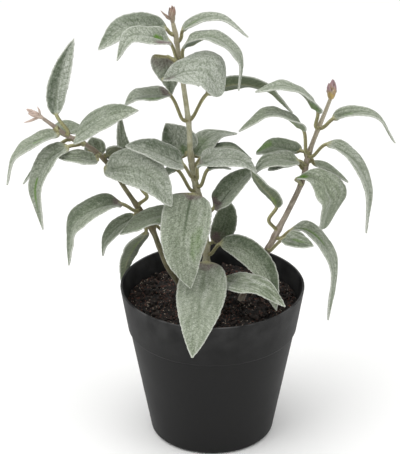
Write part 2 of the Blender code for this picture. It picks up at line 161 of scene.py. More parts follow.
class Grain:
    """Repeatable noise over two coordinates, read from one seeded table."""

    SIZE = 64
    FAR = 9.0

    def __init__(self, seed: int) -> None:
        """Fill the table from the seed."""
        self.table = np.random.default_rng(seed).random((self.SIZE, self.SIZE, 2))

    def smooth(self, x: Array, y: Array) -> Array:
        """Return soft value noise from -1 to 1, with one lump in each unit cell."""
        left, low = np.floor(x).astype(int), np.floor(y).astype(int)
        fx, fy = x - left, y - low
        fx, fy = fx * fx * (3 - 2 * fx), fy * fy * (3 - 2 * fy)
        corner = [[self.table[(left + i) % self.SIZE, (low + j) % self.SIZE, 0] for j in (0, 1)]
                  for i in (0, 1)]
        near = corner[0][0] * (1 - fy) + corner[0][1] * fy
        far = corner[1][0] * (1 - fy) + corner[1][1] * fy
        return (near * (1 - fx) + far * fx) * 2.0 - 1.0

    def cells(self, x: Array, y: Array) -> Array:
        """Return the distance to the nearest of the points scattered one in each unit cell."""
        left, low = np.floor(x).astype(int), np.floor(y).astype(int)
        nearest = np.full(np.shape(x), self.FAR)
        for i in (-1, 0, 1):
            for j in (-1, 0, 1):
                spot = self.table[(left + i) % self.SIZE, (low + j) % self.SIZE]
                gap = np.hypot(left + i + spot[..., 0] - x, low + j + spot[..., 1] - y)
                nearest = np.minimum(nearest, gap)
        return nearest


@dataclass
class Shell:
    """A mesh in the making: points in millimetres, faces, and a value a point for each attribute."""

    points: Array
    faces: list[tuple[int, ...]]
    values: dict[str, Array]

    @staticmethod
    def from_rings(rings: Array, values: dict[str, Array]) -> "Shell":
        """Join rings of equal size with quads, and close both ends.

        Args:
            rings: the points, shaped (rings, points in a ring, 3), anticlockwise seen from the end.
            values: the attributes, each one that spreads to (rings, points in a ring).

        Returns:
            The shell.
        """
        rows, around = rings.shape[:2]
        grid = np.arange(rows * around).reshape(rows, around)
        turned = np.roll(grid, -1, axis=1)
        quads = np.stack([grid[:-1], turned[:-1], turned[1:], grid[1:]], axis=-1).reshape(-1, 4)
        faces = [tuple(quad) for quad in quads.tolist()]
        faces += [tuple(grid[0][::-1].tolist()), tuple(grid[-1].tolist())]
        flat = {name: np.broadcast_to(value, (rows, around)).ravel() for name, value in values.items()}
        return Shell(rings.reshape(-1, 3), faces, flat)

    @staticmethod
    def gathered(shells: Sequence["Shell"]) -> "Shell":
        """Return one shell that holds several with the same attributes."""
        shift, faces = 0, []
        for shell in shells:
            faces += [tuple(index + shift for index in face) for face in shell.faces]
            shift += len(shell.points)
        values = {name: np.concatenate([shell.values[name] for shell in shells])
                  for name in shells[0].values}
        return Shell(np.vstack([shell.points for shell in shells]), faces, values)

    def to_object(self, name: str, finish: Material) -> bpy.types.Object:
        """Make the shell a smooth-shaded object in metres.

        Args:
            name: the object's name.
            finish: its material.

        Returns:
            The object, linked to the scene.
        """
        mesh = bpy.data.meshes.new(name)
        mesh.from_pydata((self.points * MM).tolist(), [], self.faces)
        for title, value in self.values.items():
            layer = mesh.attributes.new(title, "FLOAT", "POINT")
            layer.data.foreach_set("value", value.astype(np.float32))
        mesh.materials.append(finish)
        mesh.shade_smooth()
        mesh.validate()
        piece = bpy.data.objects.new(name, mesh)
        bpy.context.scene.collection.objects.link(piece)
        return piece


def settle(piece: bpy.types.Object, node: str, slot: str) -> None:
    """Attach a finished piece to its body, hide the CAD node that it stands for, and log its slot."""
    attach(piece, BODY)
    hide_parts(node)
    log.info("%s: %d points, slot %s", piece.name, len(piece.data.vertices), slot)


# ---------------------------------------------------------------- finishes


def linear(colour: Colour) -> tuple[float, float, float, float]:
    """Turn a display colour of 0 to 255 into the linear colour that shaders take."""
    shares = [part / 255 for part in colour]
    return (*[s / 12.92 if s <= 0.04045 else ((s + 0.055) / 1.055) ** 2.4 for s in shares], 1.0)


class Graph:
    """A material's node tree, with short calls for the nodes that the finishes share."""

    def __init__(self, name: str) -> None:
        """Start a material with a Principled shader."""
        self.material = bpy.data.materials.new(name)
        self.material.use_nodes = True
        self.tree = self.material.node_tree
        self.shader = self.tree.nodes["Principled BSDF"]
        self.place = self.tree.nodes.new("ShaderNodeTexCoord").outputs["Object"]

    def put(self, socket: Socket, value: object) -> None:
        """Link an output to a socket, or set the socket to a constant."""
        if isinstance(value, Socket):
            self.tree.links.new(value, socket)
        else:
            socket.default_value = value

    def attribute(self, name: str) -> Socket:
        """Return a mesh attribute as a number."""
        node = self.tree.nodes.new("ShaderNodeAttribute")
        node.attribute_name = name
        return node.outputs["Fac"]

    def noise(self, scale: float, detail: float = 3.0, where: object = None) -> Socket:
        """Return soft noise from 0 to 1, with scale lumps in a metre."""
        node = self.tree.nodes.new("ShaderNodeTexNoise")
        self.put(node.inputs["Vector"], where or self.place)
        self.put(node.inputs["Scale"], scale)
        self.put(node.inputs["Detail"], detail)
        return node.outputs["Fac"]

    def specks(self, scale: float) -> Socket:
        """Return a random shade for each of the grains, with scale grains in a metre."""
        node = self.tree.nodes.new("ShaderNodeTexVoronoi")
        self.put(node.inputs["Vector"], self.place)
        self.put(node.inputs["Scale"], scale)
        split = self.tree.nodes.new("ShaderNodeSeparateColor")
        self.put(split.inputs["Color"], node.outputs["Color"])
        return split.outputs["Red"]

    def math(self, operation: str, first: object, second: object) -> Socket:
        """Return a sum, product or other operation on two numbers."""
        node = self.tree.nodes.new("ShaderNodeMath")
        node.operation = operation
        self.put(node.inputs[0], first)
        self.put(node.inputs[1], second)
        return node.outputs[0]

    def span(self, value: object, low: float, high: float, start: float = 0.0, end: float = 1.0) -> Socket:
        """Stretch low..high of a number to start..end, and hold it there."""
        node = self.tree.nodes.new("ShaderNodeMapRange")
        for socket, number in zip(node.inputs[:5], (value, low, high, start, end)):
            self.put(socket, number)
        return node.outputs[0]

    def mix(self, share: object, first: object, second: object, blend: str = "MIX") -> Socket:
        """Blend two colours, each a display colour or an output."""
        node = self.tree.nodes.new("ShaderNodeMix")
        node.data_type = "RGBA"
        node.blend_type = blend
        self.put(node.inputs["Factor"], share)
        for name, colour in (("A", first), ("B", second)):
            socket = next(s for s in node.inputs if s.name == name and s.type == "RGBA")
            self.put(socket, linear(colour) if isinstance(colour, tuple) else colour)
        return next(s for s in node.outputs if s.type == "RGBA")

    def tint(self, skin: Socket, name: str, levels: Levels, colour: object) -> Socket:
        """Blend a colour over the skin where a mesh attribute, stretched by span, says."""
        return self.mix(self.span(self.attribute(name), *levels), skin, colour)

    def paint_pit_shade(self, skin: Socket, grain: Socket, levels: Levels, colour: Colour) -> Socket:
        """Paint shade into the pits of a grain."""
        return self.mix(self.span(grain, *levels), skin, colour, "MULTIPLY")

    def bump(self, height: object, depth: float, strength: float = 1.0) -> None:
        """Press a height into the surface, depth being its metres from 0 to 1."""
        node = self.tree.nodes.new("ShaderNodeBump")
        self.put(node.inputs["Height"], height)
        self.put(node.inputs["Distance"], depth)
        self.put(node.inputs["Strength"], strength)
        self.put(self.shader.inputs["Normal"], node.outputs["Normal"])

    def finish(self, colour: object, roughness: object, **constants: float) -> Material:
        """Set the shader's colour, roughness and constants.

        Args:
            colour: the base colour.
            roughness: the roughness, a number or an output.
            constants: other inputs by name, with _ for a space.

        Returns:
            The finished material.
        """
        self.put(self.shader.inputs["Base Color"], colour)
        self.put(self.shader.inputs["Roughness"], roughness)
        for name, value in constants.items():
            self.put(self.shader.inputs[name.replace("_", " ")], value)
        return self.material


@dataclass(frozen=True)
class FeltFinish:
    """The felted skin of a leaf: mottled grey-green, paler at its margin, greener beneath, with painted
    shade over shaded patches, in its creases, its vein grooves and its pits.

    grain, mottle, breaks and hair are how many lumps each noise has in a metre.
    """

    shade: Colour = (106, 117, 94)
    pale: Colour = (168, 175, 156)
    grey: Colour = (186, 190, 181)
    margin: Colour = (202, 205, 195)
    under: Colour = (118, 130, 98)
    rib: Colour = (158, 160, 130)
    bare: Colour = (88, 126, 36)
    # painted shade for the parts of a blade that lie in shade
    painted_shade: Colour = (70, 84, 60)
    flush: Colour = (112, 94, 96)
    stalk: Colour = (172, 169, 126)
    # painted shade for the pits of the grain
    stalk_side: Colour = (130, 124, 90)
    pit_shade: Colour = (74, 82, 62)
    grain: float = 1300.0
    mottle: float = 150.0
    breaks: float = 420.0
    hair: float = 2600.0
    relief: float = 0.00025
    rough: tuple[float, float] = (0.82, 0.98)

    def upper(self, g: Graph, mottle: Socket) -> Socket:
        """Return the colour of the upper face, with painted shade in the creases between pebbles and in the
        vein grooves.
        """
        skin = g.mix(g.span(mottle, 0.2, 0.8, 0.25, 0.9), self.shade, self.pale)
        # the pebble-crease and vein tints are painted shade in the creases and vein grooves; the tone and
        # streak tints are the leaf's own tones
        for name, levels, colour in (("tone", (0.0, 0.5, 0.0, 0.7), self.grey),
                                     ("tone", (-0.4, 0.0, 0.5, 0.0), self.shade),
                                     ("pebble_crease_shade", (0.15, 0.95, 0.0, 0.6), self.shade),
                                     ("streak", (-0.7, 0.1, 0.7, 0.0), self.shade),
                                     ("streak", (0.1, 0.8, 0.0, 0.5), self.grey),
                                     ("vein", (0.2, 1.0, 0.0, 0.75), self.shade)):
            skin = g.tint(skin, name, levels, colour)
        return skin

    def lower(self, g: Graph, mottle: Socket) -> Socket:
        """Return the colour of the lower face, where the veins stand out paler."""
        skin = g.mix(g.span(mottle, 0.3, 0.75), self.under, self.shade)
        return g.tint(skin, "vein", (0.2, 1.0, 0.0, 0.8), self.rib)

    def build(self) -> Material:
        """Make the material."""
        g = Graph("leaf_felt")
        grain = g.noise(self.grain, 4.0)
        mottle, fine = (g.math("MULTIPLY", noise, 0.5) for noise in (g.noise(self.mottle), grain))
        mottle = g.math("ADD", mottle, fine)
        skin = g.mix(g.attribute("under"), self.upper(g, mottle), self.lower(g, mottle))
        broken = g.span(g.noise(self.breaks), 0.3, 0.6, 0.55, 1.0)
        # the first mark lays painted shade over a blade's shaded patches; green and flush are the leaf's
        # own colours
        for mark, colour in (("painted_shade", self.painted_shade), ("green", self.bare), ("flush", self.flush)):
            skin = g.mix(g.math("MULTIPLY", g.attribute(mark), broken), skin, colour)
        skin = g.tint(skin, "edge", (0.0, 1.0, 0.0, 0.8), self.margin)
        stalk = g.mix(g.attribute("flank"), self.stalk, self.stalk_side)
        skin = g.mix(g.attribute("stalk"), skin, stalk)
        skin = g.paint_pit_shade(skin, grain, (0.3, 0.62, 0.55, 0.0), self.pit_shade)
        hair = g.math("MULTIPLY", g.noise(self.hair, 2.0), 0.6)
        g.bump(g.math("ADD", grain, hair), self.relief, 0.8)
        return g.finish(skin, g.span(grain, 0.2, 0.8, *self.rough), Sheen_Weight=0.22,
                        Sheen_Roughness=0.5, Specular_IOR_Level=0.15)


@dataclass(frozen=True)
class BarkFinish:
    """The hairy rind of a shoot, streaked along its length and darker at the nodes."""

    name: str
    light: Colour
    dark: Colour
    node: Colour
    young: Colour
    # painted shade for the pits of the grain
    pit_shade: Colour = (70, 60, 45)
    grain: float = 1500.0
    blotch: float = 120.0
    relief: float = 0.0003
    rough: tuple[float, float] = (0.7, 0.95)

    def streaks(self, g: Graph) -> Socket:
        """Return noise that is drawn out along the shoot."""
        where = g.tree.nodes.new("ShaderNodeCombineXYZ")
        g.put(where.inputs[0], g.math("MULTIPLY", g.attribute("turn"), 3.0))
        g.put(where.inputs[1], g.math("MULTIPLY", g.attribute("rise"), 0.12))
        return g.noise(1.6, 4.0, where.outputs[0])

    def build(self) -> Material:
        """Make the material."""
        g = Graph(self.name)
        streak = self.streaks(g)
        blotch = g.noise(self.blotch)
        skin = g.mix(g.span(g.math("ADD", streak, blotch), 0.75, 1.25), self.dark, self.light)
        skin = g.tint(skin, "node", (0.3, 1.0, 0.0, 0.4), self.node)
        skin = g.tint(skin, "share", (0.72, 0.9, 0.0, 0.7), self.young)
        grain = g.noise(self.grain)
        skin = g.paint_pit_shade(skin, grain, (0.3, 0.7, 0.35, 0.0), self.pit_shade)
        g.bump(g.math("ADD", grain, streak), self.relief, 0.7)
        return g.finish(skin, g.span(grain, 0.2, 0.8, *self.rough), Sheen_Weight=0.3,
                        Sheen_Roughness=0.5, Specular_IOR_Level=0.25)


@dataclass(frozen=True)
class BudFinish:
    """The downy scales of a bud, one colour at the base and another at the tip."""

    name: str
    base: Colour
    tip: Colour
    edge: Colour = (196, 184, 168)
    downy: Colour = (208, 188, 176)
    # painted shade for the pits of the grain
    pit_shade: Colour = (90, 76, 70)
    grain: float = 2200.0
    blotch: float = 380.0
    relief: float = 0.00018
    rough: tuple[float, float] = (0.72, 0.92)

    def build(self) -> Material:
        """Make the material."""
        g = Graph(self.name)
        blotch = g.noise(self.blotch)
        along = g.math("ADD", g.attribute("share"), g.span(blotch, 0.3, 0.7, -0.25, 0.25))
        skin = g.mix(g.span(along, 0.15, 0.75), self.base, self.tip)
        skin = g.tint(skin, "edge", (0.0, 1.0, 0.0, 0.5), self.edge)
        skin = g.tint(skin, "down", (0.0, 1.0, 0.0, 0.8), self.downy)
        grain = g.noise(self.grain)
        skin = g.paint_pit_shade(skin, grain, (0.3, 0.7, 0.3, 0.0), self.pit_shade)
        g.bump(grain, self.relief, 0.7)
        return g.finish(skin, g.span(grain, 0.2, 0.8, *self.rough), Sheen_Weight=0.35,
                        Sheen_Roughness=0.5, Specular_IOR_Level=0.25)


@dataclass(frozen=True)
class SoilFinish:
    """Damp potting soil: near-black crumbs with brown, reddish and pale specks."""

    dark: Colour = (17, 15, 14)
    brown: Colour = (44, 36, 31)
    red: Colour = (92, 58, 46)
    pale: Colour = (170, 156, 140)
    grain: float = 1900.0
    clods: float = 260.0
    red_grit: float = 900.0
    pale_grit: float = 1300.0
    relief: float = 0.0005
    rough: tuple[float, float] = (0.6, 1.0)

    def build(self) -> Material:
        """Make the material."""
        g = Graph("soil_crumb")
        speck = g.specks(self.red_grit)
        skin = g.mix(g.span(g.noise(self.clods, 4.0), 0.42, 0.7), self.dark, self.brown)
        skin = g.mix(g.span(speck, 0.80, 0.9, 0.0, 0.75), skin, self.red)
        skin = g.mix(g.span(g.specks(self.pale_grit), 0.955, 0.99, 0.0, 0.9), skin, self.pale)
        skin = g.mix(g.attribute("chip"), skin, self.brown)
        grain = g.noise(self.grain, 5.0)
        g.bump(g.math("ADD", grain, speck), self.relief, 0.9)
        return g.finish(skin, g.span(grain, 0.3, 0.7, *self.rough), Specular_IOR_Level=0.35)


@dataclass(frozen=True)
class PlasticFinish:
    """Charcoal moulded plastic: matte, a little worn, paler at its edges with wear and a painted highlight,
    and darker on the inner wall with painted shade.
    """

    body: Colour = (21, 21, 21)
    bloom: Colour = (33, 33, 33)
    # wear and a painted highlight along the lip and the collar's edge
    worn_and_highlight: Colour = (70, 70, 70)
    # painted shade for the inner wall
    inner_wall_shade: Colour = (15, 15, 15)
    grain: float = 1700.0
    clouds: float = 28.0
    scuff_and_highlight_lumps: float = 90.0
    dents: float = 160.0
    relief: float = 0.00012
    rough: tuple[float, float] = (0.46, 0.62)

    def build(self) -> Material:
        """Make the material."""
        g = Graph("pot_plastic")
        cloud = g.noise(self.clouds)
        skin = g.mix(g.span(cloud, 0.35, 0.7, 0.0, 0.35), self.body, self.bloom)
        # painted shade on the inner wall
        skin = g.mix(g.attribute("inner_wall_shade"), skin, self.inner_wall_shade)
        # wear and a painted highlight at the lip and the collar's edge, broken up by noise
        scuff_and_highlight = g.math("MULTIPLY", g.attribute("wear_and_highlight"), g.span(g.noise(self.scuff_and_highlight_lumps, 5.0), 0.35, 0.65))
        skin = g.mix(scuff_and_highlight, skin, self.worn_and_highlight)
        dent = g.math("MULTIPLY", g.noise(self.dents, 2.0), 0.5)
        g.bump(g.math("ADD", g.noise(self.grain, 2.0), dent), self.relief, 0.5)
        return g.finish(skin, g.span(cloud, 0.2, 0.8, *self.rough), Specular_IOR_Level=0.16)


class Finish(Enum):
    """The finishes of the plant and its pot, each named after its slot in the record."""

    LEAF = FeltFinish()
    OLIVE = BarkFinish("stem_olive", (192, 190, 166), (146, 146, 108), (150, 138, 118), (172, 162, 138))
    DARK = BarkFinish("stem_dark", (136, 130, 100), (84, 80, 54), (92, 76, 58), (178, 162, 152))
    TAUPE = BarkFinish("stem_taupe", (182, 172, 158), (130, 117, 102), (136, 116, 100), (176, 168, 146))
    TAN = BudFinish("bud_tan", (160, 150, 128), (150, 122, 108))
    MAUVE = BudFinish("bud_mauve", (176, 152, 92), (146, 118, 122))
    SOIL = SoilFinish()
    POT = PlasticFinish()


# ---------------------------------------------------------------- the plant's plan


class Mark(Enum):
    """What marks a blade: bare green where the felt is thin or broken, a purple-brown flush, and painted
    shade where the blade lies in shade.
    """

    # painted shade, laid where a blade lies in shade
    PAINTED_SHADE = "painted_shade"
    GREEN = "green"
    FLUSH = "flush"


@dataclass(frozen=True)
class Patch:
    """A soft patch on a blade.

    share and across place its middle along the blade and from the front margin (-1) to the
    rear one (1). reach and breadth are its half sizes in the same units.
    """

    mark: Mark
    share: float
    across: float
    reach: float
    breadth: float
    strength: float = 0.9


def foot_flush(reach: float = 0.2, strength: float = 0.9) -> Patch:
    """Return the purple-brown flush at a blade's base."""
    return Patch(Mark.FLUSH, 0.0, 0.0, reach, 1.6, strength)


def far_half_shade(strength: float = 0.6) -> Patch:
    """Return painted shade over a blade's rear half."""
    return Patch(Mark.PAINTED_SHADE, 0.45, 0.75, 0.75, 0.75, strength)


def bare_crease(share: float = 0.35, reach: float = 0.35, strength: float = 0.8) -> Patch:
    """Return the bare green stripe along a midrib."""
    return Patch(Mark.GREEN, share, 0.0, reach, 0.22, strength)


def dark_crease(strength: float = 0.75) -> Patch:
    """Return painted shade in the groove of a midrib near its base."""
    return Patch(Mark.PAINTED_SHADE, 0.16, 0.0, 0.3, 0.09, strength)


def all_over(mark: Mark, strength: float) -> Patch:
    """Return a mark that covers the whole blade."""
    return Patch(mark, 0.4, 0.0, 1.2, 2.4, strength)


@dataclass(frozen=True)
class LeafPlan:
    """Where one leaf grows and how it hangs.

    node is the height at which it leaves its shoot. route runs along the midrib from the base
    of the blade to its tip. lean lifts the rear margin, twist adds to it along the blade,
    heading is the way that the leaf grows where the route doesn't say it, and elbow is a
    point that a bowed petiole passes. fold lifts both margins over the midrib and roll turns
    them down again, as shares of the half width. cup lifts them more at the base. A low rise
    makes the base broad, and a low fall the tip. tone is paler above 0 and greener below, and
    stripes is how strongly fine lines run along the blade.
    """

    node: float
    width: float
    route: tuple[Point, ...]
    lean: float = 0.0
    twist: float = 0.0
    heading: Optional[float] = None
    elbow: Optional[Point] = None
    fold: float = 0.22
    cup: float = 0.0
    rise: float = 0.5
    fall: float = 0.85
    roll: float = 0.08
    tone: float = 0.0
    stripes: float = 0.25
    patches: tuple[Patch, ...] = ()


@dataclass(frozen=True)
class BudPlan:
    """A bud's base and tip, its core's radius, the tips of its outer scales, its finish and down."""

    base: Point
    tip: Point
    radius: float
    scales: tuple[Point, ...]
    finish: Finish
    down: float = 0.0


@dataclass(frozen=True)
class ShootPlan:
    """A shoot: its route from the socket in the soil to its tip, its radii, leaves and bud."""

    name: str
    route: tuple[Point, ...]
    base_radius: float
    tip_radius: float
    finish: Finish
    bud: BudPlan
    leaves: tuple[LeafPlan, ...]
    node_swell: float = 0.22
    node_reach: float = 3.0

    def point(self, height: float) -> Array:
        """Return the centre of the stem at a height."""
        heights = [row[2] for row in self.route]
        return np.array([np.interp(height, heights, [row[k] for row in self.route]) for k in range(3)])

    def direction(self, height: float) -> Array:
        """Return the way that the stem runs at a height."""
        return unit(self.point(height + self.node_reach) - self.point(height - self.node_reach))

    def node_share(self, heights: Array, reach: float) -> Array:
        """Return how close each height is to a node, 1 at it and falling off over reach."""
        nodes = np.array(sorted({leaf.node for leaf in self.leaves}))
        return np.exp(-((np.asarray(heights)[..., None] - nodes) / reach) ** 2).max(axis=-1)

    def radius(self, heights: Array) -> Array:
        """Return the stem's radius at each height, with the swelling at its nodes."""
        start, end = self.route[0][2], self.route[-1][2]
        share = (np.asarray(heights) - start) / (end - start)
        plain = self.base_radius + (self.tip_radius - self.base_radius) * share
        return plain * (1.0 + self.node_swell * self.node_share(heights, self.node_reach))


CENTRE_SHOOT = ShootPlan(
    "centre", ((-3, 8, 70), (-3, 8, 92), (-4, 5, 109), (-4, 5, 126), (-6, 5, 154), (-11, 5, 175),
               (-14, 5, 195), (-15, 5, 215), (-18, 5, 240), (-21, 5, 261), (-23, 5, 276), (-25, 5, 286)),
    2.3, 1.3, Finish.OLIVE,
    BudPlan((-25.1, 5, 286.5), (-25.5, 5, 297), 2.0,
            ((-32.5, 4, 294), (-24, 3.5, 297), (-30, 3, 291), (-27, 7, 295)), Finish.TAN),
    (
        LeafPlan(278, 20, ((-29, 6, 281), (-40, 3, 284), (-56, -2, 284), (-71, -9, 273)), lean=32,
                 fold=0.32, cup=0.5, tone=0.35, patches=(far_half_shade(0.5),)),
        LeafPlan(273, 12, ((-19, 8, 279), (-10, 8, 286), (5, 6, 289), (22, 2, 277)), lean=25, twist=-40,
                 cup=0.4, rise=0.4, tone=0.25, patches=(bare_crease(0.15, 0.2, 0.35),)),
        LeafPlan(262, 15, ((-27, -5, 277), (-39, -15, 285), (-51, -21, 287), (-59, -24, 272)), lean=30,
                 cup=0.7, rise=0.34, tone=0.3,
                 patches=(Patch(Mark.FLUSH, 0.1, -0.8, 0.3, 0.5, 1.0),
                          Patch(Mark.GREEN, 0.2, 0.05, 0.1, 0.32, 1.0))),
        LeafPlan(259, 17, ((-18, -2, 272), (-2, -6, 281), (16, -8, 268), (16, -10, 246)), lean=3, cup=0.8,
                 rise=0.36, tone=0.25, patches=(Patch(Mark.PAINTED_SHADE, 0.06, -0.7, 0.2, 0.6, 0.9),)),
        LeafPlan(253, 27, ((-31, -11, 254), (-18, -16, 262), (-3, -19, 263), (5, -22, 248)), lean=35,
                 fold=0.3, cup=0.6, rise=0.95, fall=0.55, tone=0.5,
                 patches=(Patch(Mark.FLUSH, 0.1, -0.25, 0.1, 0.4, 0.9),)),
        LeafPlan(257, 21, ((-29, 14, 259), (-28.5, 14, 254), (-27, 13, 244), (-26, 12, 233)), heading=-90,
                 fold=0.3, rise=0.16, fall=1.1, tone=0.3,
                 patches=(foot_flush(0.35, 0.55), Patch(Mark.PAINTED_SHADE, 0.9, 0.0, 0.3, 1.2, 0.5))),
        LeafPlan(220, 18, ((-4, 10, 235), (12, 14, 241), (33, 18, 236), (51, 20, 218)), lean=-70, twist=50,
                 tone=-0.2, patches=(Patch(Mark.PAINTED_SHADE, 0.25, 0.0, 0.5, 1.4, 0.6),)),
        LeafPlan(220, 16, ((-27, 0, 239), (-38, -5, 242), (-48, -9, 242), (-55, -12, 237)), lean=12,
                 fold=0.36, cup=0.4, tone=0.3,
                 patches=(Patch(Mark.PAINTED_SHADE, 0.4, -0.7, 0.5, 0.6, 0.6), foot_flush(0.2, 0.8),
                          Patch(Mark.GREEN, 0.45, -0.9, 0.3, 0.2, 0.5))),
        LeafPlan(195, 24, ((-17, 9, 193), (-22, 13, 201), (-26, 15, 207), (-30, 15, 213)), heading=90,
                 fold=0.5, rise=0.4, tone=0.4,
                 patches=(Patch(Mark.PAINTED_SHADE, 0.6, -0.8, 0.6, 0.7, 0.8),
                          Patch(Mark.GREEN, 0.12, 0.1, 0.2, 0.3, 0.5))),
        LeafPlan(192, 20, ((-12, 10, 192), (-8, 14, 198), (0, 22, 202), (16, 30, 199)), heading=50,
                 rise=0.36, tone=0.3, patches=(Patch(Mark.GREEN, 0.2, 0.0, 0.25, 0.7, 0.3),)),
        LeafPlan(188, 12, ((-8, 7, 192), (2, 10, 198), (13, 12, 198), (25, 12, 189)), tone=-0.1,
                 patches=(far_half_shade(0.8),)),
        LeafPlan(181, 20, ((-19, -6, 194), (-30, -12, 203), (-43, -16, 210), (-55, -18, 212)), lean=35,
                 fold=0.34, cup=0.4, rise=0.4, tone=0.45, patches=(far_half_shade(0.7),)),
        LeafPlan(179, 19, ((-9, -3, 192), (3, -8, 199), (19, -12, 199), (28, -14, 192)), lean=15, cup=0.8,
                 rise=0.42, tone=0.7,
                 patches=(Patch(Mark.GREEN, 0.13, -0.5, 0.09, 0.3, 1.0),
                          Patch(Mark.FLUSH, 0.02, 0.0, 0.06, 0.8, 0.9))),
        LeafPlan(171, 14, ((-23, 1, 187), (-30, 3, 184), (-38, 3, 176)), lean=10, tone=-0.3,
                 patches=(all_over(Mark.PAINTED_SHADE, 0.4),)),
        LeafPlan(173, 12, ((-3, 1, 187), (4, 4, 188), (12, 8, 184)), lean=-10, tone=-0.3,
                 patches=(all_over(Mark.PAINTED_SHADE, 0.7),)),
        LeafPlan(167, 32, ((-13, -6, 173), (-17, -24, 162), (-18.5, -32, 143), (-14, -34, 120)),
                 heading=-90, fold=0.24, cup=0.25, rise=0.4, tone=0.12,
                 patches=(foot_flush(0.08, 0.8), Patch(Mark.GREEN, 0.55, 0.55, 0.2, 0.3, 0.3),
                          dark_crease())),
        LeafPlan(154, 20, ((-21, -4, 156), (-34, -9, 160), (-46, -13, 157), (-59, -16, 149)), lean=12,
                 cup=0.4, patches=(Patch(Mark.GREEN, 0.3, -0.6, 0.2, 0.3, 0.3), far_half_shade(0.3))),
        LeafPlan(153, 22, ((1, -3, 162), (9, -2, 172), (17, 0, 180), (27, 3, 187)), lean=20, fold=0.36,
                 cup=0.4, tone=0.1, patches=(far_half_shade(0.7), foot_flush(0.18, 0.9), dark_crease())),
        LeafPlan(129, 16, ((0, 11, 130), (6, 13, 137), (9, 14, 150), (6, 14, 163)), heading=90, tone=-0.2,
                 patches=(all_over(Mark.PAINTED_SHADE, 0.6), foot_flush(0.25, 0.9))),
        LeafPlan(125, 17, ((5, -1, 135), (18, -6, 135), (33, -13, 123), (41, -31, 102)), lean=45, fold=0.3,
                 cup=0.4, tone=0.1, patches=(far_half_shade(0.8),)),
        LeafPlan(117, 18, ((8, -6, 113), (18, -26, 120), (32, -41, 124), (46, -44, 112)), lean=25, cup=0.3,
                 tone=-0.05, stripes=1.0),
        LeafPlan(119, 32, ((-4, -6, 124), (-7, -30, 116), (-10, -58, 108), (-13, -76, 93)), heading=-90,
                 fold=0.16, cup=0.25, rise=0.42, tone=0.18, patches=(foot_flush(0.1, 0.8),)),
    ),
)

LEFT_SHOOT = ShootPlan(
    "left", ((-17, 5, 70), (-17, 5, 92), (-24, 4, 107), (-29, 3, 116), (-34, 2, 130), (-39, 1, 145),
             (-48, 0, 161), (-55, -1, 173), (-63, -2, 187), (-71, -2, 198), (-80, -3, 206),
             (-91, -3, 212), (-102, -4, 221), (-107, -4, 225)),
    2.1, 1.1, Finish.DARK,
    BudPlan((-107.6, -4, 225.5), (-117, -4, 231), 2.0,
            ((-119, -5, 222), (-116, -6, 229), (-110, -4, 233), (-113, -1, 226)), Finish.TAN, down=0.9),
    (
        LeafPlan(213, 13, ((-98, -6, 228), (-98, -6, 241), (-93, -4, 260), (-86, -2, 278)), heading=90,
                 fold=0.4, tone=0.55, patches=(Patch(Mark.PAINTED_SHADE, 0.45, -0.7, 0.7, 0.7, 0.8),)),
        LeafPlan(218, 16, ((-97, -9, 217), (-109, -11, 214), (-125, -13, 202), (-130, -14, 183)), lean=5,
                 cup=0.5, rise=0.36, tone=0.1, patches=(Patch(Mark.GREEN, 0.25, -0.3, 0.12, 0.25, 0.9),)),
        LeafPlan(210, 22, ((-96, 4, 211), (-88, 12, 212), (-78, 18, 206)), rise=0.4, tone=-0.1),
        LeafPlan(211, 8, ((-102, 2, 200), (-109, 2, 193), (-121, 0, 177)),
                 patches=(all_over(Mark.PAINTED_SHADE, 0.5),)),
        LeafPlan(208, 15, ((-91, -10, 208), (-102, -13, 203), (-112, -15, 183), (-108, -17, 153)), lean=5,
                 heading=-135, cup=0.5, rise=0.3, tone=0.2, patches=(bare_crease(0.6, 0.2, 0.8),)),
        LeafPlan(207, 22, ((-86, -10, 213), (-75, -16, 226), (-61, -20, 235), (-46, -24, 239)), lean=35,
                 rise=0.42, tone=0.1, patches=(far_half_shade(0.3),)),
        LeafPlan(199, 13, ((-73, -13, 200), (-84, -14, 203), (-97, -14, 202)), lean=20, cup=0.3, tone=0.1,
                 stripes=0.8),
        LeafPlan(202, 14, ((-75, 3, 196), (-75, 6, 201), (-77, 7, 207)), heading=90, tone=-0.1),
        LeafPlan(196, 14, ((-68, 0, 198), (-61, -1, 199), (-51, -2, 198)), lean=-65, stripes=1.0, tone=0.2,
                 patches=(all_over(Mark.FLUSH, 0.3), bare_crease(0.4, 0.5, 0.4))),
        LeafPlan(191, 24, ((-68, -8, 192), (-53, -16, 197), (-38, -22, 192), (-26, -26, 174)), lean=45,
                 cup=0.7, rise=0.52, fall=0.75, tone=0.35),
        LeafPlan(160, 20, ((-58, -8, 167), (-71, -14, 169), (-87, -18, 159), (-92, -20, 129)), lean=12,
                 fold=0.3, cup=0.4, tone=0.1, patches=(far_half_shade(0.6), foot_flush(0.1, 0.8))),
        LeafPlan(162, 11, ((-46, 5, 172), (-51, 10, 185), (-58, 13, 202), (-59, 14, 221)), heading=135,
                 lean=25, elbow=(-42, 2, 167), stripes=0.6),
        LeafPlan(157, 16, ((-50, 4, 153), (-59, 2, 148), (-69, 0, 137), (-71, -1, 126)), lean=10, cup=0.3,
                 patches=(far_half_shade(0.4),)),
        LeafPlan(146, 13, ((-43, 6, 140), (-50, 18, 126), (-56, 32, 107), (-61, 43, 84)),
                 patches=(bare_crease(0.35, 0.3, 0.7),)),
        LeafPlan(144, 12, ((-32, 8, 140), (-25, 12, 136), (-16, 14, 127)), tone=-0.2),
    ),
)

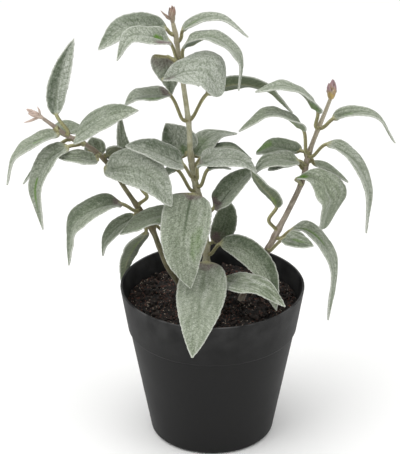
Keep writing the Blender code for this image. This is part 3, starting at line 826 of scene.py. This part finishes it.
RIGHT_SHOOT = ShootPlan(
    "right", ((18, -2, 70), (18, -2, 92), (22, -2, 103), (30, -1, 117), (37, 0, 133), (42, 0, 144),
              (50, 1, 161), (57, 2, 178), (61, 3, 197), (67, 4, 215), (71, 4, 226), (74, 4, 235)),
    2.3, 1.2, Finish.TAUPE,
    BudPlan((74.3, 4, 235.9), (75, 4, 248), 3.1,
            ((72.5, 3, 246), (77, 3, 245.5), (75.5, 6, 244), (73, 6, 243)), Finish.MAUVE),
    (
        LeafPlan(215, 20, ((66, 0, 228), (58, -4, 241), (44, -8, 249), (26, -14, 247)), lean=5, cup=0.5,
                 rise=0.34, tone=0.15, patches=(Patch(Mark.GREEN, 0.12, -0.4, 0.12, 0.5, 0.6),)),
        LeafPlan(215, 12, ((76, 6, 220), (88, 8, 224), (104, 8, 221), (116, 6, 203)), lean=20, twist=-40,
                 cup=0.5, rise=0.38, tone=0.1, patches=(Patch(Mark.GREEN, 0.2, -0.3, 0.08, 0.3, 0.9),)),
        LeafPlan(198, 18, ((57, -4, 217), (48, -8, 227), (34, -12, 232), (16, -16, 221)), cup=0.5,
                 rise=0.38, patches=(bare_crease(0.15, 0.15, 0.7),)),
        LeafPlan(196, 15, ((72, -4, 207), (86, -8, 202), (98, -12, 182), (98, -14, 149)), lean=5, cup=0.5,
                 rise=0.38, tone=0.3, stripes=0.4),
        LeafPlan(192, 14, ((64, 5, 190), (74, 7, 185), (87, 7, 175)), tone=-0.1),
        LeafPlan(190, 18, ((54, -3, 195), (44, -6, 198), (33, -7, 196), (25, -7, 187)), lean=10, cup=0.4,
                 rise=0.4, tone=0.15, stripes=0.5),
        LeafPlan(195, 18, ((56, 10, 196), (46, 16, 195), (36, 20, 194), (28, 22, 189)), lean=15, cup=0.4,
                 fall=0.5, tone=-0.2,
                 patches=(all_over(Mark.PAINTED_SHADE, 0.5), Patch(Mark.GREEN, 0.85, 0.3, 0.25, 0.6, 0.6))),
        LeafPlan(187, 15, ((53, 4, 190), (44, 3, 190), (35, 2, 186)), patches=(all_over(Mark.PAINTED_SHADE, 0.4),)),
        LeafPlan(177, 26, ((53, -9, 185), (65, -15, 189), (75, -20, 178), (70, -22, 156)), lean=25, cup=0.7,
                 rise=1.1, fall=0.5, stripes=0.4, patches=(Patch(Mark.GREEN, 0.05, 0.2, 0.12, 0.6, 0.9),)),
        LeafPlan(145, 13, ((41, -4, 163), (38, -8, 172), (31, -13, 183), (24, -18, 196)), lean=-30,
                 elbow=(36, -3, 153), cup=0.3,
                 patches=(all_over(Mark.PAINTED_SHADE, 0.4), Patch(Mark.GREEN, 0.2, 0.0, 0.15, 0.4, 0.7))),
        LeafPlan(140, 15, ((50, -4, 146), (60, -7, 149), (77, -12, 130), (75, -16, 87)), lean=10, twist=-30,
                 cup=0.5, rise=0.4, tone=0.2, stripes=0.4, patches=(bare_crease(0.2, 0.15, 0.6),)),
        LeafPlan(131, 14, ((46, -15, 146), (55, -25, 149), (64, -28, 147)), lean=20, cup=0.6, tone=0.1,
                 stripes=0.8,
                 patches=(bare_crease(0.5, 0.3, 0.5), Patch(Mark.PAINTED_SHADE, 0.7, -0.7, 0.5, 0.6, 0.7))),
    ),
)


# ---------------------------------------------------------------- leaves, stems and buds


@dataclass
class Spine:
    """The middle line of a leaf from inside its stem to its tip, with a row for each section.

    share is the part of the blade's length, 0 on the petiole. grown is the part of the
    petiole's length, 1 on the blade. from_stem and run are millimetres, and run is 0 where
    the blade starts.
    """

    points: Array
    tangents: Array
    share: Array
    grown: Array
    from_stem: Array
    run: Array
    length: float


@dataclass
class Sheet:
    """A leaf laid out flat: arrays with a row for each section and a column for each point of it.

    left is the millimetres to the tip. u runs from the front margin (-1) to the rear one (1),
    and hand is its sign. x and y are millimetres along and across. lower is 1 on the lower
    face, and body rises from 0 on the petiole to 1 on the blade.
    """

    share: Array
    left: Array
    u: Array
    hand: Array
    x: Array
    y: Array
    lower: Array
    body: Array
    half_width: Array
    half_thick: Array


@dataclass
class Leaf:
    """One leaf: a grooved petiole grown from its shoot, and a folded blade with felted pebbles."""

    name: str
    plan: LeafPlan
    shoot: ShootPlan
    seed: int
    petiole_radius: float = 1.2
    flare: float = 0.7
    thickness: float = 1.0
    lead_out: float = 1.6
    lead_rise: float = 0.9
    stem_gap: float = 0.3
    rooted: float = 0.4
    tip_width: float = 0.06
    tip_round: float = 0.6
    pitch: float = 0.45
    half_ring: int = 28
    path_steps: int = 24
    vein_pitch: float = 4.2
    vein_slant: float = 0.85
    vein_depth: float = 0.32
    rib_depth: float = 0.60
    pebble_pitch: float = 1.15
    pebble_height: float = 0.17
    streak_height: float = 0.16
    groove_depth: float = 0.35
    wave: float = 0.09
    warp: float = 0.05
    scallop: float = 0.22

    def course(self) -> tuple[Array, Array]:
        """Return the dense routes of the petiole, from inside the stem, and of the blade."""
        plan = self.plan
        root = self.shoot.point(plan.node)
        along = self.shoot.direction(plan.node)
        aim = np.array(plan.elbow or plan.route[0], float) - root
        outward = unit(aim - along * (aim @ along))
        radius = float(self.shoot.radius(plan.node))
        foot = root + outward * (radius + self.stem_gap)
        lead = plan.elbow or tuple(foot + (outward + along * self.lead_rise) * self.lead_out)
        dense = smooth_path((foot, lead, *plan.route), self.path_steps)
        knee = self.path_steps * 2
        start = root + outward * radius * self.rooted
        return np.vstack([start, dense[:knee + 1]]), dense[knee:]

    def spine(self) -> Spine:
        """Space the sections along the petiole, and closer at both ends along the blade."""
        stalk, blade = self.course()
        stalk_length, length = path_length(stalk), path_length(blade)
        stalk_rows = max(6, round(stalk_length / (self.pitch * 1.6)))
        rows = round(length / self.pitch)
        even = np.linspace(0.0, 1.0, rows)
        bunched = 0.55 * even + 0.45 * (1.0 - np.cos(pi * even)) / 2
        travel = np.linspace(0.0, stalk_length, stalk_rows, endpoint=False)
        far = np.full(rows, 99.0)

        def column(petiole: Array, beyond: Array) -> Array:
            """Stack the petiole's numbers and the blade's as one column."""
            return np.concatenate([petiole, beyond])[:, None]

        points, tangents = (np.vstack(pair) for pair in zip(follow(stalk, travel),
                                                            follow(blade, bunched * length)))
        share = column(np.zeros(stalk_rows), bunched)
        run = share * length + column(travel - stalk_length, np.zeros(rows))
        return Spine(points, tangents, share, column(travel / stalk_length, np.ones(rows)),
                     column(travel, far), run, length)

    def rear(self) -> tuple[Array, float]:
        """Return the level direction of the rear margin, and 1 or -1 for the face's side."""
        base, tip = (np.array(self.plan.route[k], float) for k in (0, -1))
        growth = unit((tip - base) * (1.0, 1.0, 0.0))
        if self.plan.heading is not None:
            turn = radians(self.plan.heading)
            growth = np.array((np.cos(turn), np.sin(turn), 0.0))
        rear = np.cross(UP, growth)
        level = 0.01
        if rear[1] < -level or (abs(rear[1]) <= level and rear[0] < 0.0):
            return -rear, -1.0
        return rear, 1.0

    def outline(self, share: Array) -> Array:
        """Return the blade's width at shares of its length, where 1 is the widest."""
        rise, fall = self.plan.rise, self.plan.fall
        crest = rise / (rise + fall)
        peak = crest ** rise * (1.0 - crest) ** fall
        swell = share ** rise * (1.0 - share) ** fall / peak
        return np.maximum(swell, self.tip_width)

    def sheet(self, spine: Spine) -> Sheet:
        """Lay out the sections: round on the petiole, thin and wide on the blade.

        Args:
            spine: the leaf's middle line.

        Returns:
            The places of the points on the leaf.
        """
        s = np.linspace(1.0, -1.0, self.half_ring, endpoint=False)
        s = np.concatenate([s, -s])
        lower = (np.arange(s.size) >= self.half_ring).astype(float)
        body = smoothstep(0.0, 0.10, spine.share)
        bunching = 1.0 - 0.55 * body
        u = np.sin(pi / 2 * s) * bunching + s * (1.0 - bunching)
        narrow = self.petiole_radius * (1.0 + self.flare * np.exp(-spine.from_stem / 1.1))
        wide = self.plan.width / 2 * self.outline(spine.share)
        left = (1.0 - spine.share) * spine.length
        end = 1.0 - np.minimum(left / self.tip_round, 1.0)
        round_off = np.sqrt(np.clip(1.0 - end ** 2, 0.02, 1.0))
        half_width = np.where(spine.share < 0.5, np.maximum(wide, narrow), wide) * round_off
        half_thick = (narrow * (1.0 - body) + self.thickness / 2 * body) * round_off
        return Sheet(spine.share, left, u, np.sign(u + 1e-9), spine.run, u * half_width, lower, body,
                     half_width, half_thick)

    def relief(self, sheet: Sheet, grain: Grain) -> tuple[Array, dict[str, Array]]:
        """Raise the pebbles and streaks of the felt, and sink its veins and midrib.

        Args:
            sheet: the places of the points on the leaf.
            grain: the leaf's own noise.

        Returns:
            What the relief adds to the height, and the layers that follow it.
        """
        x, y, u, body = sheet.x, sheet.y, sheet.u, sheet.body
        inner = body * (1.0 - np.abs(u) ** 5) * smoothstep(0.0, 4.0, sheet.left)
        rib_width = 0.55 + 0.5 * (1.0 - sheet.share)
        rib = np.exp(-(y / rib_width) ** 2) * (1.0 - 0.6 * sheet.share)
        sway = grain.smooth(x / 6.0, y / 5.0 + 9.0)
        slant = x / self.vein_pitch - np.abs(y) / self.vein_pitch * self.vein_slant
        slant = slant + 0.5 * (sheet.hand > 0) + 0.22 * sway
        vein = np.clip(np.cos(2 * pi * slant), 0.0, 1.0) ** 6 * smoothstep(0.0, 1.2, np.abs(y))
        vein = vein * (1.0 - smoothstep(0.72, 0.97, np.abs(u)))
        near = grain.cells(x / self.pebble_pitch + 0.3 * sway, y / (self.pebble_pitch * 0.9) + 20.0)
        dome = np.clip(1.0 - (near / 0.8) ** 2, 0.0, 1.0)
        streak = grain.smooth(x / 7.0 + 60.0, y / 0.75) * (0.4 + self.plan.stripes)
        upper = (self.pebble_height * dome - self.vein_depth * vein - self.rib_depth * rib
                 + self.streak_height * streak)
        lower = -0.50 * rib - 0.20 * vein - 0.06 * dome - 0.08 * streak
        stalk = np.maximum(1.0 - smoothstep(0.0, 0.05, sheet.share), 0.35 * rib * sheet.lower)
        # the crease layer marks where the finish paints shade between the pebbles
        layers = {"vein": np.maximum(vein, rib) * body, "pebble_crease_shade": (1.0 - dome) * inner,
                  "streak": streak * body, "stalk": stalk}
        return inner * np.where(sheet.lower > 0, lower, upper), layers

    def height(self, sheet: Sheet, relief: Array, grain: Grain) -> Array:
        """Return how far each point stands off the leaf's middle line.

        Args:
            sheet: the places of the points on the leaf.
            relief: the height of the felt's relief.
            grain: the leaf's own noise.

        Returns:
            The heights: thickness and relief, then fold, cup, rolled margins and waves.
        """
        plan, u, body = self.plan, sheet.u, sheet.body
        power = 2.0 + 10.0 * body
        bulk = sheet.half_thick * np.sqrt(np.clip(1.0 - np.abs(u) ** power, 0.0, 1.0))
        groove = self.groove_depth * (1.0 - body) * (1.0 - sheet.lower) * np.exp(-(u / 0.42) ** 2)
        cup = plan.cup * (1.0 - smoothstep(0.0, 0.4, sheet.share))
        lift = (plan.fold + cup) * sheet.half_width * body
        bend = np.sqrt(u * u + 0.02) - 0.5
        rim = smoothstep(0.55, 1.0, np.abs(u))
        noise = grain.smooth(sheet.x / 8.0 + 31.0, sheet.hand * 7.0 + 11.0)
        wave = rim * noise * self.wave * sheet.half_width * body
        warp = grain.smooth(sheet.x / 15.0, sheet.y / 9.0 + 40.0) * self.warp * sheet.half_width * body
        flat = np.where(sheet.lower > 0, -bulk, bulk) + relief - groove
        return flat + lift * bend - plan.roll * sheet.half_width * body * rim + wave + warp

    def breadth(self, sheet: Sheet, grain: Grain) -> Array:
        """Return how far each point stands to the side, with finely scalloped margins."""
        scallop = smoothstep(0.75, 1.0, np.abs(sheet.u)) * grain.smooth(sheet.x / 1.1,
                                                                        sheet.hand * 3.0 + 50.0)
        tapered = self.scallop * sheet.body * smoothstep(0.0, 3.0, sheet.left)
        return sheet.y + sheet.hand * scallop * tapered

    def marks(self, sheet: Sheet, ragged: Array) -> dict[str, Array]:
        """Paint the plan's patches.

        Args:
            sheet: the places of the points on the leaf.
            ragged: noise that frays the patches' edges.

        Returns:
            One layer for each mark.
        """
        layers = {mark.value: np.zeros(sheet.u.shape) for mark in Mark}
        for patch in self.plan.patches:
            far = np.hypot((sheet.share - patch.share) / patch.reach,
                           (sheet.u - patch.across) / patch.breadth)
            cover = patch.strength * (1.0 - smoothstep(0.55, 1.1, far + 0.18 * ragged))
            layers[patch.mark.value] = np.maximum(layers[patch.mark.value], cover)
        return layers

    def shell(self) -> Shell:
        """Loft the petiole and the blade as one closed body, with its relief and its layers."""
        plan, grain = self.plan, Grain(self.seed)
        spine = self.spine()
        rear, facing = self.rear()
        turn = np.radians(plan.lean + plan.twist * spine.share) * smoothstep(0.0, 1.0, spine.grown)
        side = rear * np.cos(turn) + UP * np.sin(turn)
        across = unit(side - spine.tangents * np.sum(side * spine.tangents, axis=1, keepdims=True))
        face = np.cross(spine.tangents, across) * facing

        sheet = self.sheet(spine)
        relief, layers = self.relief(sheet, grain)
        height, breadth = self.height(sheet, relief, grain), self.breadth(sheet, grain)
        rings = spine.points[:, None] + across[:, None] * breadth[..., None]
        rings = rings + face[:, None] * height[..., None]

        margin = 1.0 - smoothstep(0.25, 1.1, (1.0 - np.abs(sheet.u)) * sheet.half_width)
        layers.update(under=sheet.lower * sheet.body, edge=margin * sheet.body, tone=np.array(plan.tone),
                      flank=np.clip(np.abs(sheet.u) ** 3, 0.0, 1.0) * (1.0 - sheet.body))
        layers.update(self.marks(sheet, grain.smooth(sheet.x / 2.2, sheet.y / 2.2 + 70.0)))
        layers = {name: np.broadcast_to(layer, sheet.u.shape) for name, layer in layers.items()}
        if facing < 0:
            rings = rings[:, ::-1]
            layers = {name: layer[:, ::-1] for name, layer in layers.items()}
        return Shell.from_rings(rings, layers)

    def build(self, felt: Material) -> bpy.types.Object:
        """Make the leaf and settle it in its CAD node's place."""
        piece = self.shell().to_object(self.name + "_blade", felt)
        settle(piece, self.name, "leaf_felt")
        return piece


@dataclass
class Stem:
    """The woody part of a shoot: a soft square tube with swollen, scarred nodes."""

    plan: ShootPlan
    seed: int
    pitch: float = 0.6
    sides: int = 36
    squareness: float = 0.05
    lumpiness: float = 0.05
    ridges: float = 0.045
    scar_depth: float = 0.16
    tip_round: float = 1.2

    def shell(self) -> Shell:
        """Loft the tube, with ridges, hairs' roughness and a ring at each node."""
        grain = Grain(self.seed)
        path = smooth_path(self.plan.route)
        length = path_length(path)
        travel = np.linspace(0.0, length, round(length / self.pitch))
        points, tangents = follow(path, travel)
        turns, heights, run = circle(self.sides), points[:, 2], travel[:, None]
        radius = self.plan.radius(heights)[:, None]
        scar = np.exp(-((self.plan.node_share(heights, 0.9)[:, None] - 0.62) / 0.2) ** 2)
        x, y = np.cos(turns) * 2.0, np.sin(turns) * 2.0
        lump = grain.smooth(x + 8.0 + run / 6.0, y + 8.0)
        ridge = grain.smooth(x * 2.6 + 20.0, y * 2.6 + run / 14.0)
        radius = radius * (1.0 + self.squareness * np.cos(4 * turns) + self.lumpiness * lump
                           + self.ridges * ridge)
        radius = radius + self.scar_depth * scar
        end = 1.0 - np.minimum((length - run) / self.tip_round, 1.0)
        radius = radius * np.sqrt(np.clip(1.0 - end ** 2, 0.04, 1.0))
        rings = rings_around(points, tangents, turns, radius)
        node = self.plan.node_share(heights, self.plan.node_reach)[:, None]
        return Shell.from_rings(rings, {"turn": np.abs(turns / pi - 1.0), "rise": run, "node": node,
                                        "share": run / length})

    def build(self) -> bpy.types.Object:
        """Make the stem and settle it in its CAD node's place."""
        finish = self.plan.finish.value
        piece = self.shell().to_object(self.plan.name + "_stem_bark", finish.build())
        settle(piece, self.plan.name + "_stem", finish.name)
        return piece


@dataclass
class Bud:
    """A tip bud: a small core wrapped in pointed, boat-shaped scales."""

    name: str
    plan: BudPlan
    rows: int = 26
    half_ring: int = 9
    scale_thickness: float = 0.5
    scale_edge: float = 0.16
    keel: float = 0.25
    core_rows: int = 40
    core_sides: int = 32
    core_sunk: float = 1.2
    inner_scales: int = 5
    golden_turn: float = 137.5

    def scale(self, tip: Array, start: float, girth: float) -> Shell:
        """Loft one scale.

        Args:
            tip: the scale's tip.
            start: the share of the core's length at which it starts.
            girth: its width.

        Returns:
            The scale as a closed shell.
        """
        base, crown = np.array(self.plan.base, float), np.array(self.plan.tip, float)
        axis = unit(crown - base)
        root = base + (crown - base) * start
        outward = (tip - root) - axis * ((tip - root) @ axis)
        outward = unit(outward + 1e-6)
        middle = (root + tip) / 2 + outward * self.plan.radius * 0.55
        along = np.linspace(0.0, 1.0, self.rows)[:, None]
        path = smooth_path((root, middle, tip))
        points, tangents = follow(path, along[:, 0] * path_length(path))
        across = unit(np.cross(tangents, outward))
        face = np.cross(tangents, across) * -1.0
        s = np.linspace(1.0, -1.0, self.half_ring, endpoint=False)
        u = np.concatenate([s, -s])[None, :]
        lower = np.arange(u.size)[None, :] >= self.half_ring
        half_width = girth / 2 * np.sin(pi * along ** 0.75) ** 0.8 + self.scale_edge
        bulk = self.scale_thickness / 2 * np.sqrt(1.0 - np.abs(u) ** 4) * (1.2 - along)
        keel = self.keel * np.exp(-(u / 0.25) ** 2) * (1.0 - along)
        height = np.where(lower, -bulk, bulk + keel) - 0.45 * half_width * u * u
        rings = points[:, None] + across[:, None] * (u * half_width)[..., None]
        rings = rings + face[:, None] * height[..., None]
        edge = smoothstep(0.7, 1.0, np.abs(u))
        return Shell.from_rings(rings[:, ::-1], {"share": along, "edge": edge[:, ::-1],
                                                 "down": np.array(self.plan.down)})

    def core(self) -> Shell:
        """Turn the bud's heart, a drop with soft lengthwise folds."""
        base, crown = np.array(self.plan.base, float), np.array(self.plan.tip, float)
        axis = unit(crown - base)
        share = np.linspace(0.0, 1.0, self.core_rows)[:, None]
        turns = circle(self.core_sides)
        reach = self.plan.radius * np.clip(np.sin(pi * (0.12 + 0.86 * share)), 0.05, 1.0) ** 0.8
        reach = reach * (1.0 + 0.08 * np.cos(4 * turns + 4 * share)) * (1.0 - 0.35 * share)
        sunk = axis * self.core_sunk
        rings = rings_around(base - sunk + (crown - base + sunk) * share, axis, turns, reach)
        return Shell.from_rings(rings, {"share": share, "edge": np.array(0.0),
                                        "down": np.array(self.plan.down)})

    def build(self) -> bpy.types.Object:
        """Join the core and its scales, and settle the bud in its CAD node's place."""
        base, crown = np.array(self.plan.base, float), np.array(self.plan.tip, float)
        first, second = square_to(unit(crown - base))
        radius, shells = self.plan.radius, [self.core()]
        for tip in self.plan.scales:
            shells.append(self.scale(np.array(tip, float), 0.05, radius * 1.9))
        for k in range(self.inner_scales):
            turn = radians(self.golden_turn) * k
            lean = (first * np.cos(turn) + second * np.sin(turn)) * radius * (0.75 - 0.12 * k)
            tip = base + (crown - base) * (0.62 + 0.09 * k) + lean
            shells.append(self.scale(tip, 0.1 * k, radius * 1.5))
        finish = self.plan.finish.value
        piece = Shell.gathered(shells).to_object(self.name + "_scales", finish.build())
        settle(piece, self.name, finish.name)
        return piece


@dataclass
class Shoot:
    """A whole shoot: its stem, its leaves and its bud."""

    plan: ShootPlan
    seed: int

    def build(self, felt: Material) -> list[bpy.types.Object]:
        """Build the stem, the bud and every leaf.

        Args:
            felt: the leaves' shared material.

        Returns:
            The pieces.
        """
        name = self.plan.name
        pieces = [Stem(self.plan, self.seed).build(), Bud(name + "_bud", self.plan.bud).build()]
        for number, plan in enumerate(self.plan.leaves, start=1):
            leaf = Leaf(f"{name}_leaf_{number:02d}", plan, self.plan, self.seed + number)
            pieces.append(leaf.build(felt))
        return pieces


# ---------------------------------------------------------------- pot and soil


@dataclass
class Pot:
    """The nursery pot: a tapered shell with a deep collar and a thin rounded lip."""

    height: float = 105.0
    rim_radius: float = 60.0
    base_radius: float = 40.0
    collar_height: float = 29.5
    collar_taper: float = 0.165
    collar_step: float = 1.1
    wall: float = 1.5
    floor: float = 2.0
    base_fillet: float = 3.0
    floor_fillet: float = 2.0
    inner_fillet: float = 0.8
    lip_round: float = 0.55
    edge_round: float = 0.45
    neck_round: float = 0.5
    middle: float = 0.4
    under_step: float = 0.5
    arc_steps: int = 7
    sides: int = 240
    wear_and_highlight_reach: float = 0.5
    step_wear_and_highlight: float = 0.1
    sharp_angle: float = 50.0

    @property
    def step(self) -> float:
        """Return the height of the collar's lower edge."""
        return self.height - self.collar_height

    def outside(self, height: float) -> float:
        """Return the outer radius at a height."""
        if height >= self.step:
            return self.rim_radius - self.collar_taper * (self.height - height)
        neck = self.rim_radius - self.collar_taper * self.collar_height - self.collar_step
        return self.base_radius + (neck - self.base_radius) * height / self.step

    def rounded(self, corners: Sequence[tuple[float, float, float]]) -> Array:
        """Round the corners of a profile.

        Args:
            corners: rows of radius, height and rounding, the two ends on the axis.

        Returns:
            The rows of radius and height, with an arc at each rounded corner.
        """
        rows = [corners[0][:2]]
        for before, corner, after in zip(corners, corners[1:], corners[2:]):
            here = np.array(corner[:2])
            back, ahead = unit(np.array(before[:2]) - here), unit(np.array(after[:2]) - here)
            for share in np.linspace(0.0, 1.0, self.arc_steps):
                start, end = here + back * corner[2], here + ahead * corner[2]
                rows.append(start * (1 - share) ** 2 + here * 2 * share * (1 - share) + end * share ** 2)
        rows.append(corners[-1][:2])
        return np.array(rows)

    def profile(self) -> Array:
        """Return the profile from the middle of the underside, over the lip, to the inner floor."""
        step, wall = self.step, self.wall
        neck = self.outside(step - self.under_step)
        return self.rounded((
            (self.middle, 0.0, 0.0),
            (self.base_radius, 0.0, self.base_fillet),
            (neck, step - self.collar_step, self.neck_round),
            (self.outside(step), step, self.edge_round),
            (self.rim_radius, self.height, self.lip_round),
            (self.rim_radius - wall, self.height, self.edge_round),
            (self.outside(step) - wall, step, self.inner_fillet),
            (neck - wall, step - self.collar_step, self.inner_fillet),
            (self.outside(self.floor) - wall, self.floor, self.floor_fillet),
            (self.middle, self.floor, 0.0)))

    def build(self) -> bpy.types.Object:
        """Turn the profile and dress it, with wear and a painted highlight at the lip and at the collar's
        edge, and painted shade on the inner wall.
        """
        rows, turns = self.profile(), circle(self.sides)[0]
        rings = np.stack([np.outer(rows[:, 0], np.cos(turns)), np.outer(rows[:, 0], np.sin(turns)),
                          np.repeat(rows[:, 1:2], self.sides, axis=1)], axis=-1)
        # the inner wall, which the finish darkens with painted shade
        inner_wall_shade = (np.arange(len(rows)) > np.argmax(rows[:, 1]) + 2).astype(float)[:, None]
        # wear and a painted highlight at the lip, fainter at the collar's edge
        lip_wear_and_highlight, step_wear_and_highlight = (share * np.exp(-((rows[:, 1] - level) / self.wear_and_highlight_reach) ** 2)
                               for share, level in ((1.0, self.height), (self.step_wear_and_highlight, self.step)))
        wear_and_highlight = np.maximum(lip_wear_and_highlight, step_wear_and_highlight)[:, None]
        shell = Shell.from_rings(rings, {"inner_wall_shade": inner_wall_shade, "wear_and_highlight": wear_and_highlight})
        piece = shell.to_object("pot_shell", Finish.POT.value.build())
        piece.data.set_sharp_from_angle(angle=radians(self.sharp_angle))
        settle(piece, "pot", "pot_plastic")
        return piece


@dataclass
class Soil:
    """Potting soil: a lumpy low mound strewn with loose crumbs and bark chips.

    clods holds the height, pitch and noise offset of each size of clod in the bed.
    """

    pot: Pot
    depth: float = 12.5
    mound: float = 3.0
    bump: float = 0.9
    gap: float = 0.3
    sides: int = 220
    rings: int = 84
    middle: float = 0.4
    under_step: float = 0.01
    heave: float = 1.5
    clods: tuple[Point, ...] = ((1.4, 2.6, 30.0), (0.8, 1.2, 40.0))
    crumbs: int = 760
    crumb_rows: int = 6
    crumb_sides: int = 8
    chip_share: float = 0.16
    chip_form: Point = (1.9, 0.9, 0.35)
    chip_growth: float = 1.3
    clear_of_wall: float = 1.5
    seed: int = 404

    @property
    def edge(self) -> float:
        """Return the radius at which the soil meets the wall."""
        return self.inner(self.pot.height - self.depth)

    def inner(self, height: float) -> float:
        """Return the soil's radius at a height, just clear of the pot."""
        return self.pot.outside(height) - self.pot.wall - self.gap

    def height(self, reach: Array, turn: Array) -> Array:
        """Return the height of the mound at polar places."""
        share = reach / self.edge
        lumps = np.sin(3 * turn + 4 * share) + np.cos(5 * turn - 7 * share) + np.sin(2 * turn)
        level = self.pot.height - self.depth - self.mound / 2 + self.mound * (1.0 - share ** 2)
        return level + self.bump * lumps * share * (1.0 - share)

    def bed(self) -> Shell:
        """Make the closed body of the soil with its crumbly surface."""
        pot, grain, turns = self.pot, Grain(self.seed), circle(self.sides)
        walls = ((0.5, pot.floor + self.gap), (self.inner(pot.floor), pot.floor + self.gap),
                 (self.inner(pot.step - self.under_step), pot.step - pot.collar_step),
                 (self.inner(pot.step), pot.step))
        low = np.array([[(r * np.cos(a), r * np.sin(a), z) for a in turns[0]] for r, z in walls])
        reach = self.edge * (1.0 - np.linspace(0.0, 1.0, self.rings) ** 1.15)[:, None]
        reach = np.maximum(reach, self.middle)
        x, y = reach * np.cos(turns), reach * np.sin(turns)
        grit = self.heave * grain.smooth(x / 5.5 + 20, y / 5.5 + 20)
        for size, pitch, shift in self.clods:
            grit = grit + size * (0.55 - grain.cells(x / pitch + shift, y / pitch + shift))
        top = np.stack([x, y, self.height(reach, turns) + grit - 0.4], axis=-1)
        return Shell.from_rings(np.concatenate([low, top]), {"chip": np.array(0.0)})

    def crumb(self, draw: np.random.Generator) -> Shell:
        """Make one loose crumb or chip where the generator puts it."""
        chip = draw.random() < self.chip_share
        size = draw.uniform(0.5, 1.5) * (self.chip_growth if chip else 1.0)
        stretch = np.array(self.chip_form) if chip else draw.uniform(0.7, 1.25, 3)
        tilt = np.linspace(0.12, pi - 0.12, self.crumb_rows)[:, None]
        turns = circle(self.crumb_sides)
        ball = np.stack([np.sin(tilt) * np.cos(turns), np.sin(tilt) * np.sin(turns),
                         -np.cos(tilt) + 0.0 * turns], axis=-1)
        ball = ball * draw.uniform(0.72, 1.12, (self.crumb_rows, self.crumb_sides, 1)) * stretch * size
        spin = np.linalg.qr(draw.normal(size=(3, 3)))[0]
        spin = spin * np.sign(np.linalg.det(spin))
        reach, turn = (self.edge - self.clear_of_wall) * draw.random() ** 0.5, draw.uniform(0.0, 2 * pi)
        rest = float(self.height(np.array(reach), np.array(turn))) + draw.uniform(0.1, 0.9)
        place = np.array((reach * np.cos(turn), reach * np.sin(turn), rest))
        shade = np.array(0.9 if chip else draw.uniform(0.0, 0.35))
        return Shell.from_rings(ball @ spin.T + place, {"chip": shade})

    def build(self) -> bpy.types.Object:
        """Join the bed and its crumbs, and dress them."""
        draw = np.random.default_rng(self.seed)
        whole = Shell.gathered([self.bed(), *[self.crumb(draw) for _ in range(self.crumbs)]])
        piece = whole.to_object("soil_crumbs", Finish.SOIL.value.build())
        settle(piece, "soil", "soil")
        return piece


# ---------------------------------------------------------------- studio


@dataclass(frozen=True)
class Lamp:
    """A square soft light: where it hangs in metres, its side and its power in watts."""

    name: str
    place: Point
    size: float
    power: float

    def hang(self, target: Point) -> None:
        """Hang the light so that it looks at a target."""
        lamp = bpy.data.lights.new(self.name, "AREA")
        lamp.size = self.size
        lamp.energy = self.power
        holder = bpy.data.objects.new(self.name, lamp)
        holder.location = self.place
        aim = np.array(target) - np.array(self.place)
        holder.rotation_euler = (np.arctan2(np.hypot(aim[0], aim[1]), -aim[2]), 0.0,
                                 np.arctan2(-aim[0], aim[1]))
        bpy.context.scene.collection.objects.link(holder)


@dataclass
class Studio:
    """A pale floor, soft light and the camera."""

    camera_place: Point = (-0.00808, -1.41532, 0.8492)
    camera_tilt: float = 63.6
    lens: float = 194.75
    sensor: float = 36.0
    floor_size: float = 6.0
    floor_drop: float = 0.3
    floor_colour: Colour = (236, 236, 235)
    floor_pale: Colour = (240, 240, 239)
    sky: float = 0.85
    target: Point = (0.0, 0.0, 0.15)
    lamps: tuple[Lamp, ...] = (Lamp("light_above", (-0.25, -0.15, 1.4), 1.3, 11.0),
                               Lamp("light_left", (-1.3, -0.9, 0.9), 1.1, 8.0),
                               Lamp("light_right", (1.4, -0.5, 0.8), 1.0, 5.0))

    def lay_floor(self) -> None:
        """Lay the floor."""
        g = Graph("studio_floor")
        tint = g.mix(g.noise(3.0, 2.0), self.floor_colour, self.floor_pale)
        finish = g.finish(tint, 0.85, Specular_IOR_Level=0.2)
        half = self.floor_size / 2 / MM
        corners = np.array([(x * half, y * half, -self.floor_drop)
                            for x, y in ((-1, -1), (1, -1), (1, 1), (-1, 1))])
        floor = Shell(corners, [(0, 1, 2, 3)], {}).to_object("studio_floor", finish)

    def light(self) -> None:
        """Light the studio from the sky, from above and from both sides."""
        world = bpy.data.worlds.new("studio_sky")
        world.use_nodes = True
        sky = world.node_tree.nodes["Background"]
        sky.inputs["Color"].default_value = WHITE
        sky.inputs["Strength"].default_value = self.sky
        bpy.context.scene.world = world
        for lamp in self.lamps:
            lamp.hang(self.target)

    def set_camera(self) -> None:
        """Set the camera at the viewing angle."""
        data = bpy.data.cameras.new("camera")
        data.lens = self.lens
        data.sensor_width = self.sensor
        holder = bpy.data.objects.new("camera", data)
        holder.location = self.camera_place
        holder.rotation_euler = (radians(self.camera_tilt), 0.0, 0.0)
        bpy.context.scene.collection.objects.link(holder)
        bpy.context.scene.camera = holder

    def build(self) -> None:
        """Set up the whole studio."""
        self.lay_floor()
        self.light()
        self.set_camera()
        bpy.context.scene.view_settings.view_transform = "Standard"


def write_sizes() -> None:
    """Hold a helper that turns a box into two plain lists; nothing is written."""
    def plain(box: Sequence[Sequence[float]]) -> list[list[float]]:
        """Return a box as two lists of numbers."""
        return [[float(number) for number in corner] for corner in box]


def main() -> None:
    """Build the pot, the soil, the three shoots and the studio."""
    logging.basicConfig(level=logging.INFO, format="%(name)s: %(message)s")
    pot = Pot()
    pot.build()
    Soil(pot).build()
    felt = Finish.LEAF.value.build()
    for seed, plan in ((100, CENTRE_SHOOT), (200, LEFT_SHOOT), (300, RIGHT_SHOOT)):
        pieces = Shoot(plan, seed).build(felt)
        log.info("%s shoot: %d pieces", plan.name, len(pieces))
    Studio().build()
    write_sizes()


if __name__ == "__main__":
    main()
